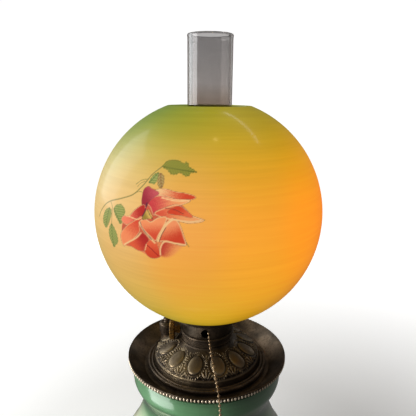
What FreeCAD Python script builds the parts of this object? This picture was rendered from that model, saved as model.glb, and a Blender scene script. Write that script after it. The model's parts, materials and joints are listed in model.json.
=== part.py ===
import FreeCAD, Part
import math
import os

# Parlour oil lamp with a ball shade, converted to electric light.
# Millimetres. Origin on the floor under the middle of the foot, +Z up, front towards -Y.
V = FreeCAD.Vector
UP = V(0, 0, 1)
CENTRE = V(0, 0, 0)

# ---- fits and clearances -------------------------------------------------
lift_gap = 0.3          # between pieces that lift apart
running_gap = 0.06      # radial, shaft in its bearing
wick_gap = 0.4          # radial, round the sliding wick

# ---- foot ----------------------------------------------------------------
pad_thickness = 1.6
pad_radius = 6.5
foot_count = 4
foot_centre_radius = 87.0
foot_half_angle = 10.0
foot_plate_radius = 90.0
foot_plate_z = 15.0
foot_neck_radius = 34.0
foot_top_radius = 38.0
foot_top_z = 57.0
foot_wall = 4.0
foot_top_thickness = 6.0

# ---- clamp that holds the vase to the foot --------------------------------
clamp_tube_radius = 4.9
clamp_tube_bore = 3.4
clamp_tube_tail = 7.0
nut_across_flats = 14.0
nut_height = 5.0
cup_wall = 1.2
cup_lip_radius = 65.0
gasket_thickness = 2.8
inner_gasket_thickness = 2.0
clamp_washer_thickness = 2.0
clamp_washer_radius = 26.0
lead_bore = 2.6
bushing_flange_radius = 5.8
bushing_flange_thickness = 1.8
bushing_stem_length = 8.0

# ---- vase ----------------------------------------------------------------
vase_wall = 4.5
vase_base_radius = 58.0
vase_hole_radius = 6.5
vase_body_radius = 108.0
vase_waist_radius = 79.6
vase_shoulder_radius = 90.4
vase_mouth_radius = 90.0

# ---- bowl on top of the vase ----------------------------------------------
rim_height = 265.0
rim_radius = 96.3
bowl_depth = 15.0
bowl_floor_radius = 77.0
bowl_opening_radius = 60.5
bowl_wall = 0.9
bowl_flange_depth = 9.1
skirt_depth = 5.4
skirt_inset = 1.3
bead_ring_thickness = 1.6
bead_ring_height = 3.8
bead_ring_drop = 1.5    # from the rim's top to the strip's upper edge
bead_edge_rounding = 0.6
cement_depth = 7.5
cement_gap = 0.2

# ---- drop-in font ----------------------------------------------------------
font_wall = 0.8
tank_radius = 57.0
tank_depth = 78.0
font_ring_radius = 72.9
font_ring_inner = 63.8
dome_radius = 65.3
neck_step = 1.9         # from the drum's radius to the dome's neck
neck_height = 18.9
draft_tube_radius = 11.0
draft_tube_top = 21.0
collar_step = 0.2       # from the drum's radius to the collar's
collar_wall = 1.4
filler_azimuth = 156.0
filler_distance = 57.0
filler_tube_radius = 7.4
filler_tube_wall = 1.0
filler_cap_radius = 9.2
filler_top = 19.0

# ---- burner -----------------------------------------------------------------
burner_wall = 0.8
drum_radius = 30.0
drum_seat = 24.2
drum_top = 53.8
lip_overhang = 2.9
lip_height = 28.5
chain_hole_radius = 5.3
chain_hole_aside = -3.7  # the hole's centre from the chain, across
chain_hole_above = 0.45  # the hole's centre from the chain, upwards
burner_opening = 18.5
plate_thickness = 1.2
screw_count = 4
screw_radius = 1.2
screw_head_radius = 2.3
screw_head_height = 1.4

# ---- wick raiser ------------------------------------------------------------
gear_module = 0.8
gear_teeth = 12
gear_backlash = 0.12
gear_inner = 17.6
gear_width = 2.4
gear_margin = 2.5
spindle_radius = 1.6
spindle_height = 26.0
gland_radius = 2.8
gland_flats = 9.0
knob_radius = 12.5
knob_thickness = 6.0
knob_standoff = 12.7
knob_flutes = 20
knob_dish = 1.0
rack_teeth = 11
rack_width = 4.4
rack_thickness = 1.8
wick_thickness = 2.7
wick_length = 50.0
wick_top = 22.3
carrier_wall = 0.8
carrier_height = 19.0

# ---- chimney, gallery and shade ---------------------------------------------
chimney_radius = 24.05
chimney_wall = 2.0
chimney_fitter_radius = 33.35
chimney_length = 311.4
prong_count = 12
prong_gap = 3.0
prong_height = 13.0
shade_radius = 127.0
shade_wall = 3.0
shade_top_opening = 45.45
shade_fitter_radius = 50.0
shade_seat = 59.9
arm_count = 4
arm_width = 9.0

# ---- lampholder and bulb -----------------------------------------------------
nipple_radius = 4.9
nipple_bore = 3.6
holder_radius = 17.0
holder_wall = 0.7
holder_bottom = 24.5
holder_length = 54.0
screw_shell_radius = 13.6
screw_shell_wall = 0.5
bulb_cap_radius = 12.8
bulb_radius = 15.0
bulb_length = 105.0
bulb_wall = 1.0
rotor_radius = 6.0

# ---- pull chain ----------------------------------------------------------------
chain_diameter = 3.2
bell_radius = 4.8
bell_length = 17.0
# Where the chain's runs meet, from the switch over the rim to the bell: x, y and height above the rim.
chain_corners = [
    (-0.4, -11.5, 48.0),
    (3.1, -37.5, 31.9),
    (8.0, -67.0, 15.9),
    (13.3, -98.6, 5.4),
    (14.8, -104.4, -13.0),
    (15.2, -104.0, -36.0),
    (15.0, -102.8, -52.0),
]

# ---- levels worked out from the sizes above ---------------------------------------
vase_bottom = foot_top_z + cup_wall + gasket_thickness
bowl_floor = rim_height - bowl_depth
bowl_underside = bowl_floor - bowl_wall
font_floor = bowl_floor + lift_gap
neck_top = rim_height + neck_height
neck_radius = drum_radius + neck_step
collar_radius = drum_radius + collar_step
lip_radius = drum_radius + lip_overhang
knob_centre = drum_radius + knob_standoff
seat_opening = gear_inner + gear_width + gear_margin
screw_circle = (burner_opening + chimney_fitter_radius - chimney_wall) / 2
drum_bottom = rim_height + drum_seat
drum_lid = rim_height + drum_top
holder_base = rim_height + holder_bottom
holder_top = holder_base + holder_length
ring_hub_top = drum_lid + plate_thickness
gallery_top = ring_hub_top + plate_thickness
chimney_foot = gallery_top + lift_gap
chimney_head = chimney_foot + chimney_length
gear_radius = gear_module * gear_teeth / 2
gear_z = rim_height + spindle_height
draft_tube_end = rim_height + draft_tube_top
contact_base = holder_base + 29.0
bulb_foot = contact_base + 2.8
shade_bottom = rim_height + shade_seat
chain_route = [(x, y, rim_height + rise) for x, y, rise in chain_corners]
shade_centre = shade_bottom + math.sqrt(shade_radius ** 2 - shade_fitter_radius ** 2)


# ---- shape helpers ------------------------------------------------------------------
def edge_to(here, step):
    """A straight edge to (r, z), or an arc through (r, z) to (r, z), in the XZ plane."""
    start = V(here[0], 0, here[1])
    if len(step) == 2:
        return Part.LineSegment(start, V(step[0], 0, step[1])).toShape()
    middle = V(step[0], 0, step[1])
    return Part.Arc(start, middle, V(step[2], 0, step[3])).toShape()


def section(start, *steps):
    """A closed flat face in the XZ plane from a start point and its steps."""
    edges = []
    here = start
    for step in steps:
        edges.append(edge_to(here, step))
        here = step[-2:]
    edges.append(edge_to(here, start))
    return Part.Face(Part.Wire(edges))


def turned(start, *steps):
    """The section turned once round the lamp's axis."""
    return section(start, *steps).revolve(CENTRE, UP, 360)


def ring(inner, outer, low, high):
    """A plain ring, or a disc when inner is zero."""
    body = Part.makeCylinder(outer, high - low, V(0, 0, low))
    if inner == 0:
        return body
    return body.cut(Part.makeCylinder(inner, high - low, V(0, 0, low)))


def curve(points):
    """A smooth curve in the XZ plane through the points (r, z)."""
    spline = Part.BSplineCurve()
    spline.interpolate([V(r, 0, z) for r, z in points])
    return spline


def inner_points(points, wall):
    """The points moved square to their smooth curve by the wall, towards its left."""
    spline = curve(points)
    moved = []
    for r, z in points:
        tangent = V(*spline.tangent(spline.parameter(V(r, 0, z)))[0])
        moved.append((r - wall * tangent.z, z + wall * tangent.x))
    return moved


def curved_wall(outer, inner):
    """Two smooth curves with the same sense, joined at their ends and turned."""
    def end_line(a, b):
        return Part.LineSegment(V(a[0], 0, a[1]), V(b[0], 0, b[1])).toShape()
    edges = [curve(outer).toShape(), end_line(outer[-1], inner[-1])]
    edges += [curve(inner).toShape(), end_line(inner[0], outer[0])]
    wire = Part.Wire(Part.__sortEdges__(edges))
    return Part.Face(wire).revolve(CENTRE, UP, 360)


def hexagon(flats, low, high):
    """A hexagonal prism on the lamp's axis."""
    corner = flats / math.sqrt(3)
    points = [V(corner * math.cos(math.radians(60 * k)), corner * math.sin(math.radians(60 * k)), low)
              for k in range(7)]
    return Part.Face(Part.makePolygon(points)).extrude(V(0, 0, high - low))


def spun(shape, azimuth):
    """A copy turned round the lamp's axis."""
    copy = shape.copy()
    copy.rotate(CENTRE, UP, azimuth)
    return copy


def around(shape, count, first=0.0):
    """Copies of a shape evenly spaced round the axis."""
    return [spun(shape, first + 360.0 * k / count) for k in range(count)]


def joined(shapes):
    """One solid from touching shapes."""
    body = shapes[0].multiFuse(shapes[1:])
    return body.removeSplitter()


def laid_out(shape, distance, height):
    """A shape made on the axis from z = 0 up, laid to point along -X from that distance."""
    copy = shape.copy()
    copy.rotate(CENTRE, V(0, 1, 0), -90)
    copy.translate(V(-distance, 0, height))
    return copy


def placed(shape, x, y, z):
    copy = shape.copy()
    copy.translate(V(x, y, z))
    return copy


def save(node, shape):
    shape.exportStep("parts/" + node + ".step")
    print(node, "solids", len(shape.Solids), "volume", round(shape.Volume, 1), "valid", shape.isValid())


# ---- foot ------------------------------------------------------------------------------
def foot_casting():
    """A low bell of cast metal on bracket feet, with a flat top for the cup."""
    plate_top = foot_plate_z + 7
    under_top = foot_top_z - foot_top_thickness
    bell = turned(
        (clamp_tube_radius, foot_top_z),
        (clamp_tube_radius, under_top),
        (foot_neck_radius - foot_wall, under_top),
        (foot_neck_radius - foot_wall, under_top - 6),
        (foot_neck_radius + 4, plate_top + 7, foot_plate_radius - 24, plate_top - 1),
        (foot_plate_radius - 5, foot_plate_z + 2),
        (foot_plate_radius - 5, foot_plate_z),
        (foot_plate_radius - 1, foot_plate_z),
        (foot_plate_radius + 1, foot_plate_z + 3, foot_plate_radius - 2, plate_top),
        (foot_plate_radius - 10, plate_top + 1.6),
        (foot_neck_radius + 14, plate_top + 9, foot_neck_radius, foot_top_z - 12),
        (foot_top_radius + 2, foot_top_z - 8, foot_top_radius, foot_top_z - 4),
        (foot_top_radius, foot_top_z),
    )
    inner = foot_centre_radius - 13
    outer = foot_centre_radius + 5
    bracket = section(
        (inner, foot_plate_z + 6),
        (inner, foot_plate_z + 1),
        (foot_centre_radius - 3, foot_plate_z - 3, foot_centre_radius - 7, pad_thickness),
        (foot_centre_radius + 7, pad_thickness),
        (outer + 6, foot_plate_z - 5, outer - 2, foot_plate_z + 5),
    ).revolve(CENTRE, UP, 2 * foot_half_angle)
    feet = around(bracket, foot_count, 45 - foot_half_angle)
    return joined([bell] + feet)


def foot_pads():
    pad = Part.makeCylinder(pad_radius, pad_thickness, V(foot_centre_radius, 0, 0))
    return Part.makeCompound(around(pad, foot_count, 45))


def vase_cup():
    """A shallow spun cup with a turned-out lip, between the foot and the vase."""
    floor = foot_top_z + cup_wall
    wall_foot = vase_base_radius + 1.2
    return turned(
        (clamp_tube_radius, foot_top_z),
        (wall_foot, foot_top_z),
        (cup_lip_radius, floor + 1.6),
        (cup_lip_radius + 1, floor + 2.4, cup_lip_radius - 0.4, floor + 2.6),
        (wall_foot - 0.2, floor),
        (clamp_tube_radius, floor),
    )


def vase_gasket():
    low = foot_top_z + cup_wall
    return ring(clamp_tube_radius + 1, vase_base_radius - 2, low, low + gasket_thickness)


def bowl_arc(lowered):
    """The bowl's flared wall: its upper face, or the face below it."""
    skirt = rim_radius - skirt_inset
    middle = (bowl_floor_radius + skirt) / 2
    height = bowl_floor + 0.46 * bowl_depth
    if not lowered:
        return (bowl_floor_radius, bowl_floor), (middle + 1, height), (skirt, rim_height - 0.5)
    low = (bowl_floor_radius + 0.3, bowl_underside)
    return low, (middle + 1.7, height - bowl_wall), (skirt - bowl_wall, rim_height - 2.6)


def vase_top():
    """The glass edge's height, where the bowl's wall lies on its inner corner."""
    face = Part.Arc(*[V(r, 0, z) for r, z in bowl_arc(True)]).toShape().Curve
    reach = vase_mouth_radius - vase_wall - face.Center.x
    return face.Center.z - math.sqrt(face.Radius ** 2 - reach ** 2) - lift_gap


def vase_outline():
    """Radius and height from the base edge to the mouth, up the outside."""
    top = vase_top()
    span = top - vase_bottom
    return [
        (vase_base_radius, vase_bottom),
        (vase_body_radius - 22, vase_bottom + 0.085 * span),
        (vase_body_radius - 4.5, vase_bottom + 0.19 * span),
        (vase_body_radius, vase_bottom + 0.31 * span),
        (vase_body_radius - 4.5, vase_bottom + 0.42 * span),
        (vase_waist_radius + 14.2, top - 95),
        (vase_waist_radius + 6.2, top - 77.5),
        (vase_waist_radius + 1.7, top - 64),
        (vase_waist_radius, top - 51),
        (vase_waist_radius + 1.4, top - 39.5),
        (vase_waist_radius + 5.0, top - 31.5),
        (vase_shoulder_radius - 1.8, top - 23.5),
        (vase_shoulder_radius, top - 17),
        (vase_mouth_radius + 0.5, top - 6),
        (vase_mouth_radius, top),
    ]


def vase():
    """Blown opal glass: foot, full body, narrow waist and a rolled shoulder."""
    outer = vase_outline()
    inner = inner_points(outer, vase_wall)
    inner[0] = (vase_base_radius - 2, vase_bottom + vase_wall)
    inner[-1] = (vase_mouth_radius - vase_wall, vase_top())
    shell = curved_wall(outer, inner)
    floor = turned(
        (vase_hole_radius, vase_bottom),
        (vase_base_radius, vase_bottom),
        (vase_base_radius - 2, vase_bottom + vase_wall),
        (vase_hole_radius, vase_bottom + vase_wall),
    )
    return joined([shell, floor])


def clamp_levels():
    """Heights of the vase floor, the inner gasket's top and the washer's top."""
    floor = vase_bottom + vase_wall
    gasket_top = floor + inner_gasket_thickness
    return floor, gasket_top, gasket_top + clamp_washer_thickness


def inner_gasket():
    floor, gasket_top, washer_top = clamp_levels()
    return ring(clamp_tube_radius + 1, clamp_washer_radius - 2, floor, gasket_top)


def clamp_washer():
    floor, gasket_top, washer_top = clamp_levels()
    return ring(clamp_tube_radius, clamp_washer_radius, gasket_top, washer_top)


def clamp_nut(low):
    return hexagon(nut_across_flats, low, low + nut_height).cut(
        Part.makeCylinder(clamp_tube_radius, nut_height, V(0, 0, low)))


def clamp_tube():
    floor, gasket_top, washer_top = clamp_levels()
    low = foot_top_z - foot_top_thickness - clamp_tube_tail
    return ring(clamp_tube_bore, clamp_tube_radius, low, washer_top + nut_height + 2)


def lead_bushing():
    """An insulating sleeve that lines the lower end of the clamp tube."""
    tube_end = foot_top_z - foot_top_thickness - clamp_tube_tail
    flange = ring(lead_bore, bushing_flange_radius, tube_end - bushing_flange_thickness, tube_end)
    stem = ring(lead_bore, clamp_tube_bore, tube_end, tube_end + bushing_stem_length)
    return joined([flange, stem])


# ---- bowl --------------------------------------------------------------------------------
def bowl():
    """A spun pan: locating flange, flat floor, flared wall, turned rim and short skirt."""
    skirt = rim_radius - skirt_inset
    floor_edge, upper_middle, wall_top = bowl_arc(False)
    under_edge, under_middle, under_top = bowl_arc(True)
    return turned(
        (bowl_opening_radius, bowl_floor - bowl_flange_depth),
        (bowl_opening_radius, bowl_floor),
        floor_edge,
        upper_middle + wall_top,
        (rim_radius - 0.5, rim_height, rim_radius, rim_height - 0.8),
        (skirt, rim_height - 1.4),
        (skirt, rim_height - skirt_depth),
        (skirt - bowl_wall, rim_height - skirt_depth),
        under_top,
        under_middle + under_edge,
        (bowl_opening_radius + bowl_wall, bowl_underside),
        (bowl_opening_radius + bowl_wall, bowl_floor - bowl_flange_depth),
    )


def bead_border():
    """The beaded strip round the skirt, as its plain outer form."""
    skirt = rim_radius - skirt_inset
    high = rim_height - bead_ring_drop
    low = high - bead_ring_height
    bulge = skirt + bead_ring_thickness
    edge = bulge - bead_edge_rounding
    return turned((skirt, low), (edge, low), (bulge, (low + high) / 2, edge, high), (skirt, high))


def cement_ring():
    """Plaster under the bowl's floor, inside the vase's mouth."""
    low = bowl_underside - cement_depth
    inner = bowl_opening_radius + bowl_wall
    outer = vase_mouth_radius - vase_wall - cement_gap
    return ring(inner, outer, low, bowl_underside)


# ---- font ----------------------------------------------------------------------------------
def font_tank():
    """A drawn cup with a flange that lies over the bowl's floor."""
    bottom = font_floor - tank_depth
    bore = tank_radius - font_wall
    return turned(
        (draft_tube_radius, bottom + 3),
        (bore - 6, bottom),
        (bore + 0.2, bottom + 1.2, tank_radius, bottom + 7),
        (tank_radius, font_floor),
        (font_ring_inner, font_floor),
        (font_ring_inner, font_floor + font_wall),
        (bore, font_floor + font_wall),
        (bore, bottom + 7),
        (bore - 1.2, bottom + 2.2, bore - 6, bottom + font_wall),
        (draft_tube_radius, bottom + 3 + font_wall),
    )


def font_ring():
    """The seam ring: two rolls with a groove between them."""
    top = font_floor + 6.2
    roll = font_ring_radius - 2.3
    return turned(
        (font_ring_inner, font_floor),
        (roll + 0.6, font_floor),
        (roll + 1.1, font_floor + 1.8),
        (font_ring_radius, font_floor + 3.9, roll, top),
        (roll - 1.9, top - 1.3),
        (roll - 3.6, top, dome_radius, top - 1.5),
        (font_ring_inner, top - 1.5),
    )


def dome_outline():
    """The dome from the seam ring up to the neck, outside."""
    low = font_floor + 4.7
    rise = neck_top - low
    span = dome_radius - neck_radius
    shares = [(0.0, 0.0), (0.03, 0.15), (0.13, 0.38), (0.31, 0.52), (0.49, 0.62),
              (0.67, 0.72), (0.82, 0.79), (0.93, 0.88), (1.0, 1.0)]
    return [(dome_radius - span * a, low + rise * b) for a, b in shares]


def font_top():
    outer = dome_outline()
    inner = inner_points(outer, font_wall)
    inner[0] = (dome_radius - font_wall, outer[0][1])
    inner[-1] = (neck_radius - font_wall, neck_top)
    shell = curved_wall(outer, inner)
    x, y = filler_place()
    return shell.cut(Part.makeCylinder(filler_tube_radius, 60, V(x, y, font_floor)))


def font_collar():
    """The screwed collar inside the neck that takes the burner."""
    low = neck_top - 9
    high = drum_bottom - plate_thickness
    return ring(collar_radius - collar_wall, collar_radius, low, high).fuse(
        ring(collar_radius, neck_radius - font_wall, neck_top - 1, neck_top)).removeSplitter()


def draft_tube():
    bottom = font_floor - tank_depth - 4
    return ring(draft_tube_radius - font_wall, draft_tube_radius, bottom, draft_tube_end)


def filler_place():
    angle = math.radians(filler_azimuth)
    return filler_distance * math.cos(angle), filler_distance * math.sin(angle)


def filler_tube():
    x, y = filler_place()
    low = font_floor + 10
    high = rim_height + filler_top
    tube = ring(filler_tube_radius - filler_tube_wall, filler_tube_radius, low, high)
    return placed(tube, x, y, 0)


def cap_gasket():
    x, y = filler_place()
    low = rim_height + filler_top + lift_gap
    return placed(ring(filler_tube_radius - 2.4, filler_tube_radius, low, low + 1.5), x, y, 0)


def filler_cap():
    """A domed thumb cap with a milled edge and a turned button."""
    x, y = filler_place()
    roof = rim_height + filler_top + lift_gap + 1.5
    bore = filler_tube_radius + lift_gap
    low = roof - 9.5
    cap = turned(
        (0, roof),
        (bore, roof),
        (bore, low),
        (filler_cap_radius, low),
        (filler_cap_radius, roof + 0.6),
        (filler_cap_radius - 1.2, roof + 2.2, 3.4, roof + 3.0),
        (2.6, roof + 4.4),
        (4.2, roof + 6.6, 2.4, roof + 8.6),
        (0, roof + 9.0),
    )
    groove = Part.makeCylinder(0.5, roof - low, V(filler_cap_radius + 0.15, 0, low))
    return placed(cap.cut(Part.makeCompound(around(groove, 30))), x, y, 0)


# ---- burner ----------------------------------------------------------------------------------
def gland_bore():
    """The hole through the burner's left side for the gland's stem."""
    return laid_out(Part.makeCylinder(gland_radius, 14), drum_radius - 8, gear_z)


def burner_base():
    """The screwed ring under the drum, with its seat and rolled lip."""
    low = neck_top + 0.5
    seat = drum_bottom
    body = drum_radius + 1.0
    top = rim_height + lip_height + 1.7
    base = turned(
        (collar_radius, low),
        (body + 0.6, low),
        (body + 0.6, low + 1.6),
        (body, low + 2.2),
        (body, top - 3.6),
        (lip_radius, top - 1.7, body, top),
        (drum_radius, top),
        (drum_radius, seat),
        (seat_opening, seat),
        (seat_opening, seat - plate_thickness),
        (collar_radius, seat - plate_thickness),
    )
    return base.cut(gland_bore())


def screw_holes(low, high):
    hole = Part.makeCylinder(screw_radius, high - low, V(screw_circle, 0, low))
    return Part.makeCompound(around(hole, screw_count, 45))


def burner_drum():
    """A plain sleeve with a closed-in top and the chain's hole in front."""
    bore = drum_radius - burner_wall
    drum = turned(
        (bore, drum_bottom),
        (drum_radius, drum_bottom),
        (drum_radius, drum_lid),
        (burner_opening, drum_lid),
        (burner_opening, drum_lid - burner_wall),
        (bore, drum_lid - burner_wall),
    )
    first = V(*chain_route[0])
    way = chain_direction()
    crossing = first + way * ((-drum_radius - first.y) / way.y)
    hole = Part.makeCylinder(chain_hole_radius, 20, V(0, -drum_radius + 12, 0), V(0, -1, 0))
    hole = placed(hole, crossing.x + chain_hole_aside, 0, crossing.z + chain_hole_above)
    return drum.cut(hole).cut(gland_bore()).cut(screw_holes(drum_lid - 5, drum_lid + 1))


def shade_ring():
    """The fitter ring for the ball shade, on arms from a hub above the drum."""
    hub = ring(burner_opening, drum_radius, drum_lid, ring_hub_top)
    seat = shade_bottom - lift_gap - 0.1
    outer = shade_fitter_radius
    fitter = turned(
        (outer - 4.4, drum_lid + 0.2),
        (outer - 2.8, drum_lid + 0.2),
        (outer - 2.4, drum_lid + 1.6),
        (outer + 1.0, seat - 1.1),
        (outer + 1.8, seat + 0.5),
        (outer + 1.0, seat + 0.5),
        (outer + 0.9, seat),
        (outer - 3.4, seat),
        (outer - 3.4, seat + 4.5),
        (outer - 4.4, seat + 4.5),
    )
    arm = Part.makeBox(outer - 3 - drum_radius + 4, arm_width, plate_thickness,
                       V(drum_radius - 4, -arm_width / 2, drum_lid))
    body = joined([hub, fitter] + around(arm, arm_count))
    return body.cut(screw_holes(drum_lid - 1, ring_hub_top + 1))


def gallery():
    """The chimney's seat: a flat floor with spring prongs round its edge."""
    prong_in = chimney_fitter_radius + 0.4
    prong_out = prong_in + 0.8
    top = gallery_top + prong_height
    body = turned(
        (burner_opening, ring_hub_top),
        (prong_out, ring_hub_top),
        (prong_out, top - 2),
        (prong_out + 1.2, top),
        (prong_out + 0.4, top),
        (prong_in, top - 2),
        (prong_in, gallery_top),
        (burner_opening, gallery_top),
    )
    slot = Part.makeBox(8, prong_gap, prong_height, V(prong_in - 3, -prong_gap / 2, gallery_top + 1.5))
    body = body.cut(Part.makeCompound(around(slot, prong_count, 15)))
    return body.cut(screw_holes(ring_hub_top - 1, gallery_top + 1))


def gallery_screws():
    shank = Part.makeCylinder(screw_radius, 5, V(screw_circle, 0, gallery_top - 5))
    head = Part.makeCylinder(screw_head_radius, screw_head_height, V(screw_circle, 0, gallery_top))
    slot = Part.makeBox(2 * screw_head_radius, 0.6, 0.7,
                        V(screw_circle - screw_head_radius, -0.3, gallery_top + screw_head_height - 0.7))
    screw = shank.fuse(head).removeSplitter().cut(slot)
    return Part.makeCompound(around(screw, screw_count, 45))


# ---- wick and raiser -----------------------------------------------------------------------------
def wick_radii():
    """Inside and outside of the wick, and outside of its carrier."""
    inner = draft_tube_radius + wick_gap
    outer = inner + wick_thickness
    return inner, outer, outer + carrier_wall


def rack_window(low, high):
    """Room for the rack and its arm, beside the raiser's gear."""
    depth = gear_inner + gear_width + 0.4
    return Part.makeBox(depth - 10, rack_width + 2.2, high - low,
                        V(-depth, -gear_radius - rack_width - 1.2, low))


def wick_tube():
    """The outer wick tube, split for the rack, hung from a flange in the collar."""
    inner, outer, carrier = wick_radii()
    bore = carrier + wick_gap
    high = neck_top - 1.6
    low = high - 20
    sleeve = ring(bore, bore + burner_wall, low, high)
    flange = ring(bore, collar_radius - collar_wall, high - burner_wall, high)
    return joined([sleeve, flange]).cut(rack_window(low - 1, high + 1))


def wick():
    inner, outer, carrier = wick_radii()
    high = rim_height + wick_top
    return ring(inner, outer, high - wick_length, high)


def rack_outline(first_z):
    """Corner points (tangent, z) of the toothed strip, teeth towards the gear."""
    pitch = math.pi * gear_module
    tip = gear_radius - 0.55 * gear_module + 0.05
    root = gear_radius + 0.95 * gear_module
    slope = math.tan(math.radians(20))
    half = pitch / 4 - gear_backlash / 2
    tip_half = half - (gear_radius - tip) * slope
    root_half = half + (root - gear_radius) * slope
    back = gear_radius + rack_width
    points = [(back, first_z - pitch / 2)]
    points.append((root, first_z - pitch / 2))
    for k in range(rack_teeth):
        z = first_z + k * pitch
        points += [(root, z - root_half), (tip, z - tip_half), (tip, z + tip_half), (root, z + root_half)]
    points.append((root, z + pitch / 2))
    points.append((back, z + pitch / 2))
    return points


def wick_carrier():
    """A split-free sleeve that grips the wick, with an arm to the toothed strip."""
    inner, outer, carrier = wick_radii()
    pitch = math.pi * gear_module
    first = gear_z - 1.5 * pitch
    near = gear_inner + 0.3
    points = [V(-near, -t, z) for t, z in rack_outline(first)]
    strip = Part.Face(Part.makePolygon(points + [points[0]])).extrude(V(-rack_thickness, 0, 0))
    top = rim_height + wick_top - 3
    sleeve = ring(outer, carrier, top - carrier_height, top)
    arm_low = first - pitch / 2 - 16
    reach = near + rack_thickness
    arm = Part.makeBox(reach - outer + 2, rack_width - 1.4, 5,
                       V(-reach, -gear_radius - rack_width, arm_low))
    post = Part.makeBox(rack_thickness, rack_width - 1.4, first - pitch / 2 - arm_low,
                        V(-reach, -gear_radius - rack_width, arm_low))
    arm = arm.cut(Part.makeCylinder((outer + carrier) / 2, 9, V(0, 0, arm_low - 2)))
    return joined([sleeve, arm, post, strip])


def gear_tooth_face(azimuth):
    """One involute tooth from below the root to the tip, thinned by the backlash."""
    pressure = math.radians(20)
    base = gear_radius * math.cos(pressure)
    tip = gear_radius + 0.7 * gear_module
    lean = math.tan(pressure) - pressure
    half = (math.pi * gear_module / 2 - gear_backlash) / (2 * gear_radius)
    flank = []
    for k in range(6):
        radius = base + (tip - base) * k / 5
        roll = math.acos(min(1.0, base / radius))
        flank.append((radius, half + lean - (math.tan(roll) - roll)))
    root = gear_radius - 0.9 * gear_module
    right = [(root - 0.2, flank[0][1])] + flank
    left = [(radius, -angle) for radius, angle in reversed(right)]
    points = [V(radius * math.cos(angle + azimuth), radius * math.sin(angle + azimuth), 0)
              for radius, angle in right + left]
    return Part.Face(Part.makePolygon(points + [points[0]]))


def raiser_gear():
    """The pinion on the raiser's inner end, a tooth gap facing the rack's middle tooth."""
    turn = 2 * math.pi / gear_teeth
    hub = Part.makeCylinder(gear_radius - 0.9 * gear_module, gear_width)
    teeth = [gear_tooth_face(turn * k).extrude(V(0, 0, gear_width)) for k in range(gear_teeth)]
    gear = joined([hub] + teeth)
    gear = gear.cut(Part.makeCylinder(spindle_radius, gear_width))
    return laid_out(gear, gear_inner, gear_z)


def raiser_spindle():
    length = knob_centre + knob_thickness / 2 - knob_dish - gear_inner
    return laid_out(Part.makeCylinder(spindle_radius, length), gear_inner, gear_z)


def spindle_gland():
    """The stuffing gland: a screwed stem with a hexagon outside the lip."""
    bore = spindle_radius + running_gap
    start = drum_radius - burner_wall - 1.2
    hex_start = lip_radius + 0.3 - start
    stem = Part.makeCylinder(gland_radius, hex_start)
    head = hexagon(gland_flats, hex_start, hex_start + 3.6)
    gland = stem.fuse(head).removeSplitter().cut(Part.makeCylinder(bore, hex_start + 4))
    return laid_out(gland, start, gear_z)


def raiser_knob():
    """A fluted disc with a turned hub behind and a dished face."""
    hub_length = knob_centre - knob_thickness / 2 - (lip_radius + 0.3 + 3.6) - lift_gap
    disc = turned(
        (0, 0), (4.0, 0), (4.0, hub_length), (knob_radius - 1.2, hub_length),
        (knob_radius, hub_length + 1.2), (knob_radius, hub_length + knob_thickness - 1.2),
        (knob_radius - 1.2, hub_length + knob_thickness), (8.5, hub_length + knob_thickness),
        (7.2, hub_length + knob_thickness - knob_dish), (0, hub_length + knob_thickness - knob_dish),
    )
    flute = Part.makeCylinder(1.1, knob_thickness + 2, V(knob_radius + 0.5, 0, hub_length - 1))
    disc = disc.cut(Part.makeCompound(around(flute, knob_flutes)))
    disc = disc.cut(Part.makeCylinder(spindle_radius, hub_length + knob_thickness))
    return laid_out(disc, knob_centre - knob_thickness / 2 - hub_length, gear_z)


def knob_screw():
    head = section((0, 0), (3.2, 0), (2.6, 1.3, 0, 1.9)).revolve(CENTRE, UP, 360)
    head = head.cut(Part.makeBox(8, 0.7, 1.2, V(-4, -0.35, 1.2)))
    return laid_out(head, knob_centre + knob_thickness / 2 - knob_dish, gear_z)


# ---- lampholder ------------------------------------------------------------------------------------
def nipple_plug():
    """The disc that closes the draft tube and carries the lampholder."""
    high = draft_tube_end - 1
    return ring(nipple_radius, draft_tube_radius - font_wall, high - 3, high)


def plug_nut():
    high = draft_tube_end - 4
    return hexagon(nut_across_flats, high - 4, high).cut(
        Part.makeCylinder(nipple_radius, 4, V(0, 0, high - 4)))


def lamp_nipple():
    return ring(nipple_bore, nipple_radius, draft_tube_end - 14, holder_base + 3)


def chain_direction():
    first = V(*chain_route[0])
    return (V(*chain_route[1]) - first).normalize()


def along_chain(radius, start, end):
    """A cylinder along the chain's first run, by distance from its inner end."""
    way = chain_direction()
    return Part.makeCylinder(radius, end - start, V(*chain_route[0]) + way * start, way)


def socket_cap():
    """The lampholder's lower cup."""
    low = holder_base
    rim = low + 14
    return turned(
        (nipple_radius, low),
        (holder_radius - 9, low),
        (holder_radius - 2, low + 2.5, holder_radius, low + 9),
        (holder_radius, rim),
        (holder_radius - holder_wall, rim),
        (holder_radius - holder_wall, low + 9),
        (holder_radius - 2.6, low + 3.1, holder_radius - 9, low + holder_wall),
        (nipple_radius, low + holder_wall),
    )


def socket_shell():
    """The upper sleeve with a bead round it and the chain's guide in front."""
    low = holder_base + 10
    outer = holder_radius - holder_wall
    bore = outer - holder_wall
    bead = holder_top - 8
    shell = turned(
        (bore, low), (outer, low), (outer, bead - 1.2),
        (outer + 0.9, bead, outer, bead + 1.2),
        (outer, holder_top), (bore, holder_top),
    )
    guide = along_chain(chain_diameter / 2 + 1.4, 3.5, 10.5)
    guide = guide.cut(Part.makeCylinder(outer - 0.2, holder_length, V(0, 0, low)))
    body = shell.fuse(guide).removeSplitter()
    return body.cut(along_chain(chain_diameter / 2 + 0.5, 0, 14))


def socket_liner():
    """The insulating sleeve inside the shell."""
    outer = holder_radius - 2 * holder_wall
    liner = ring(outer - 0.8, outer, holder_base + 10, holder_top - 1)
    return liner.cut(along_chain(chain_diameter / 2 + 0.5, 0, 14))


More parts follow.
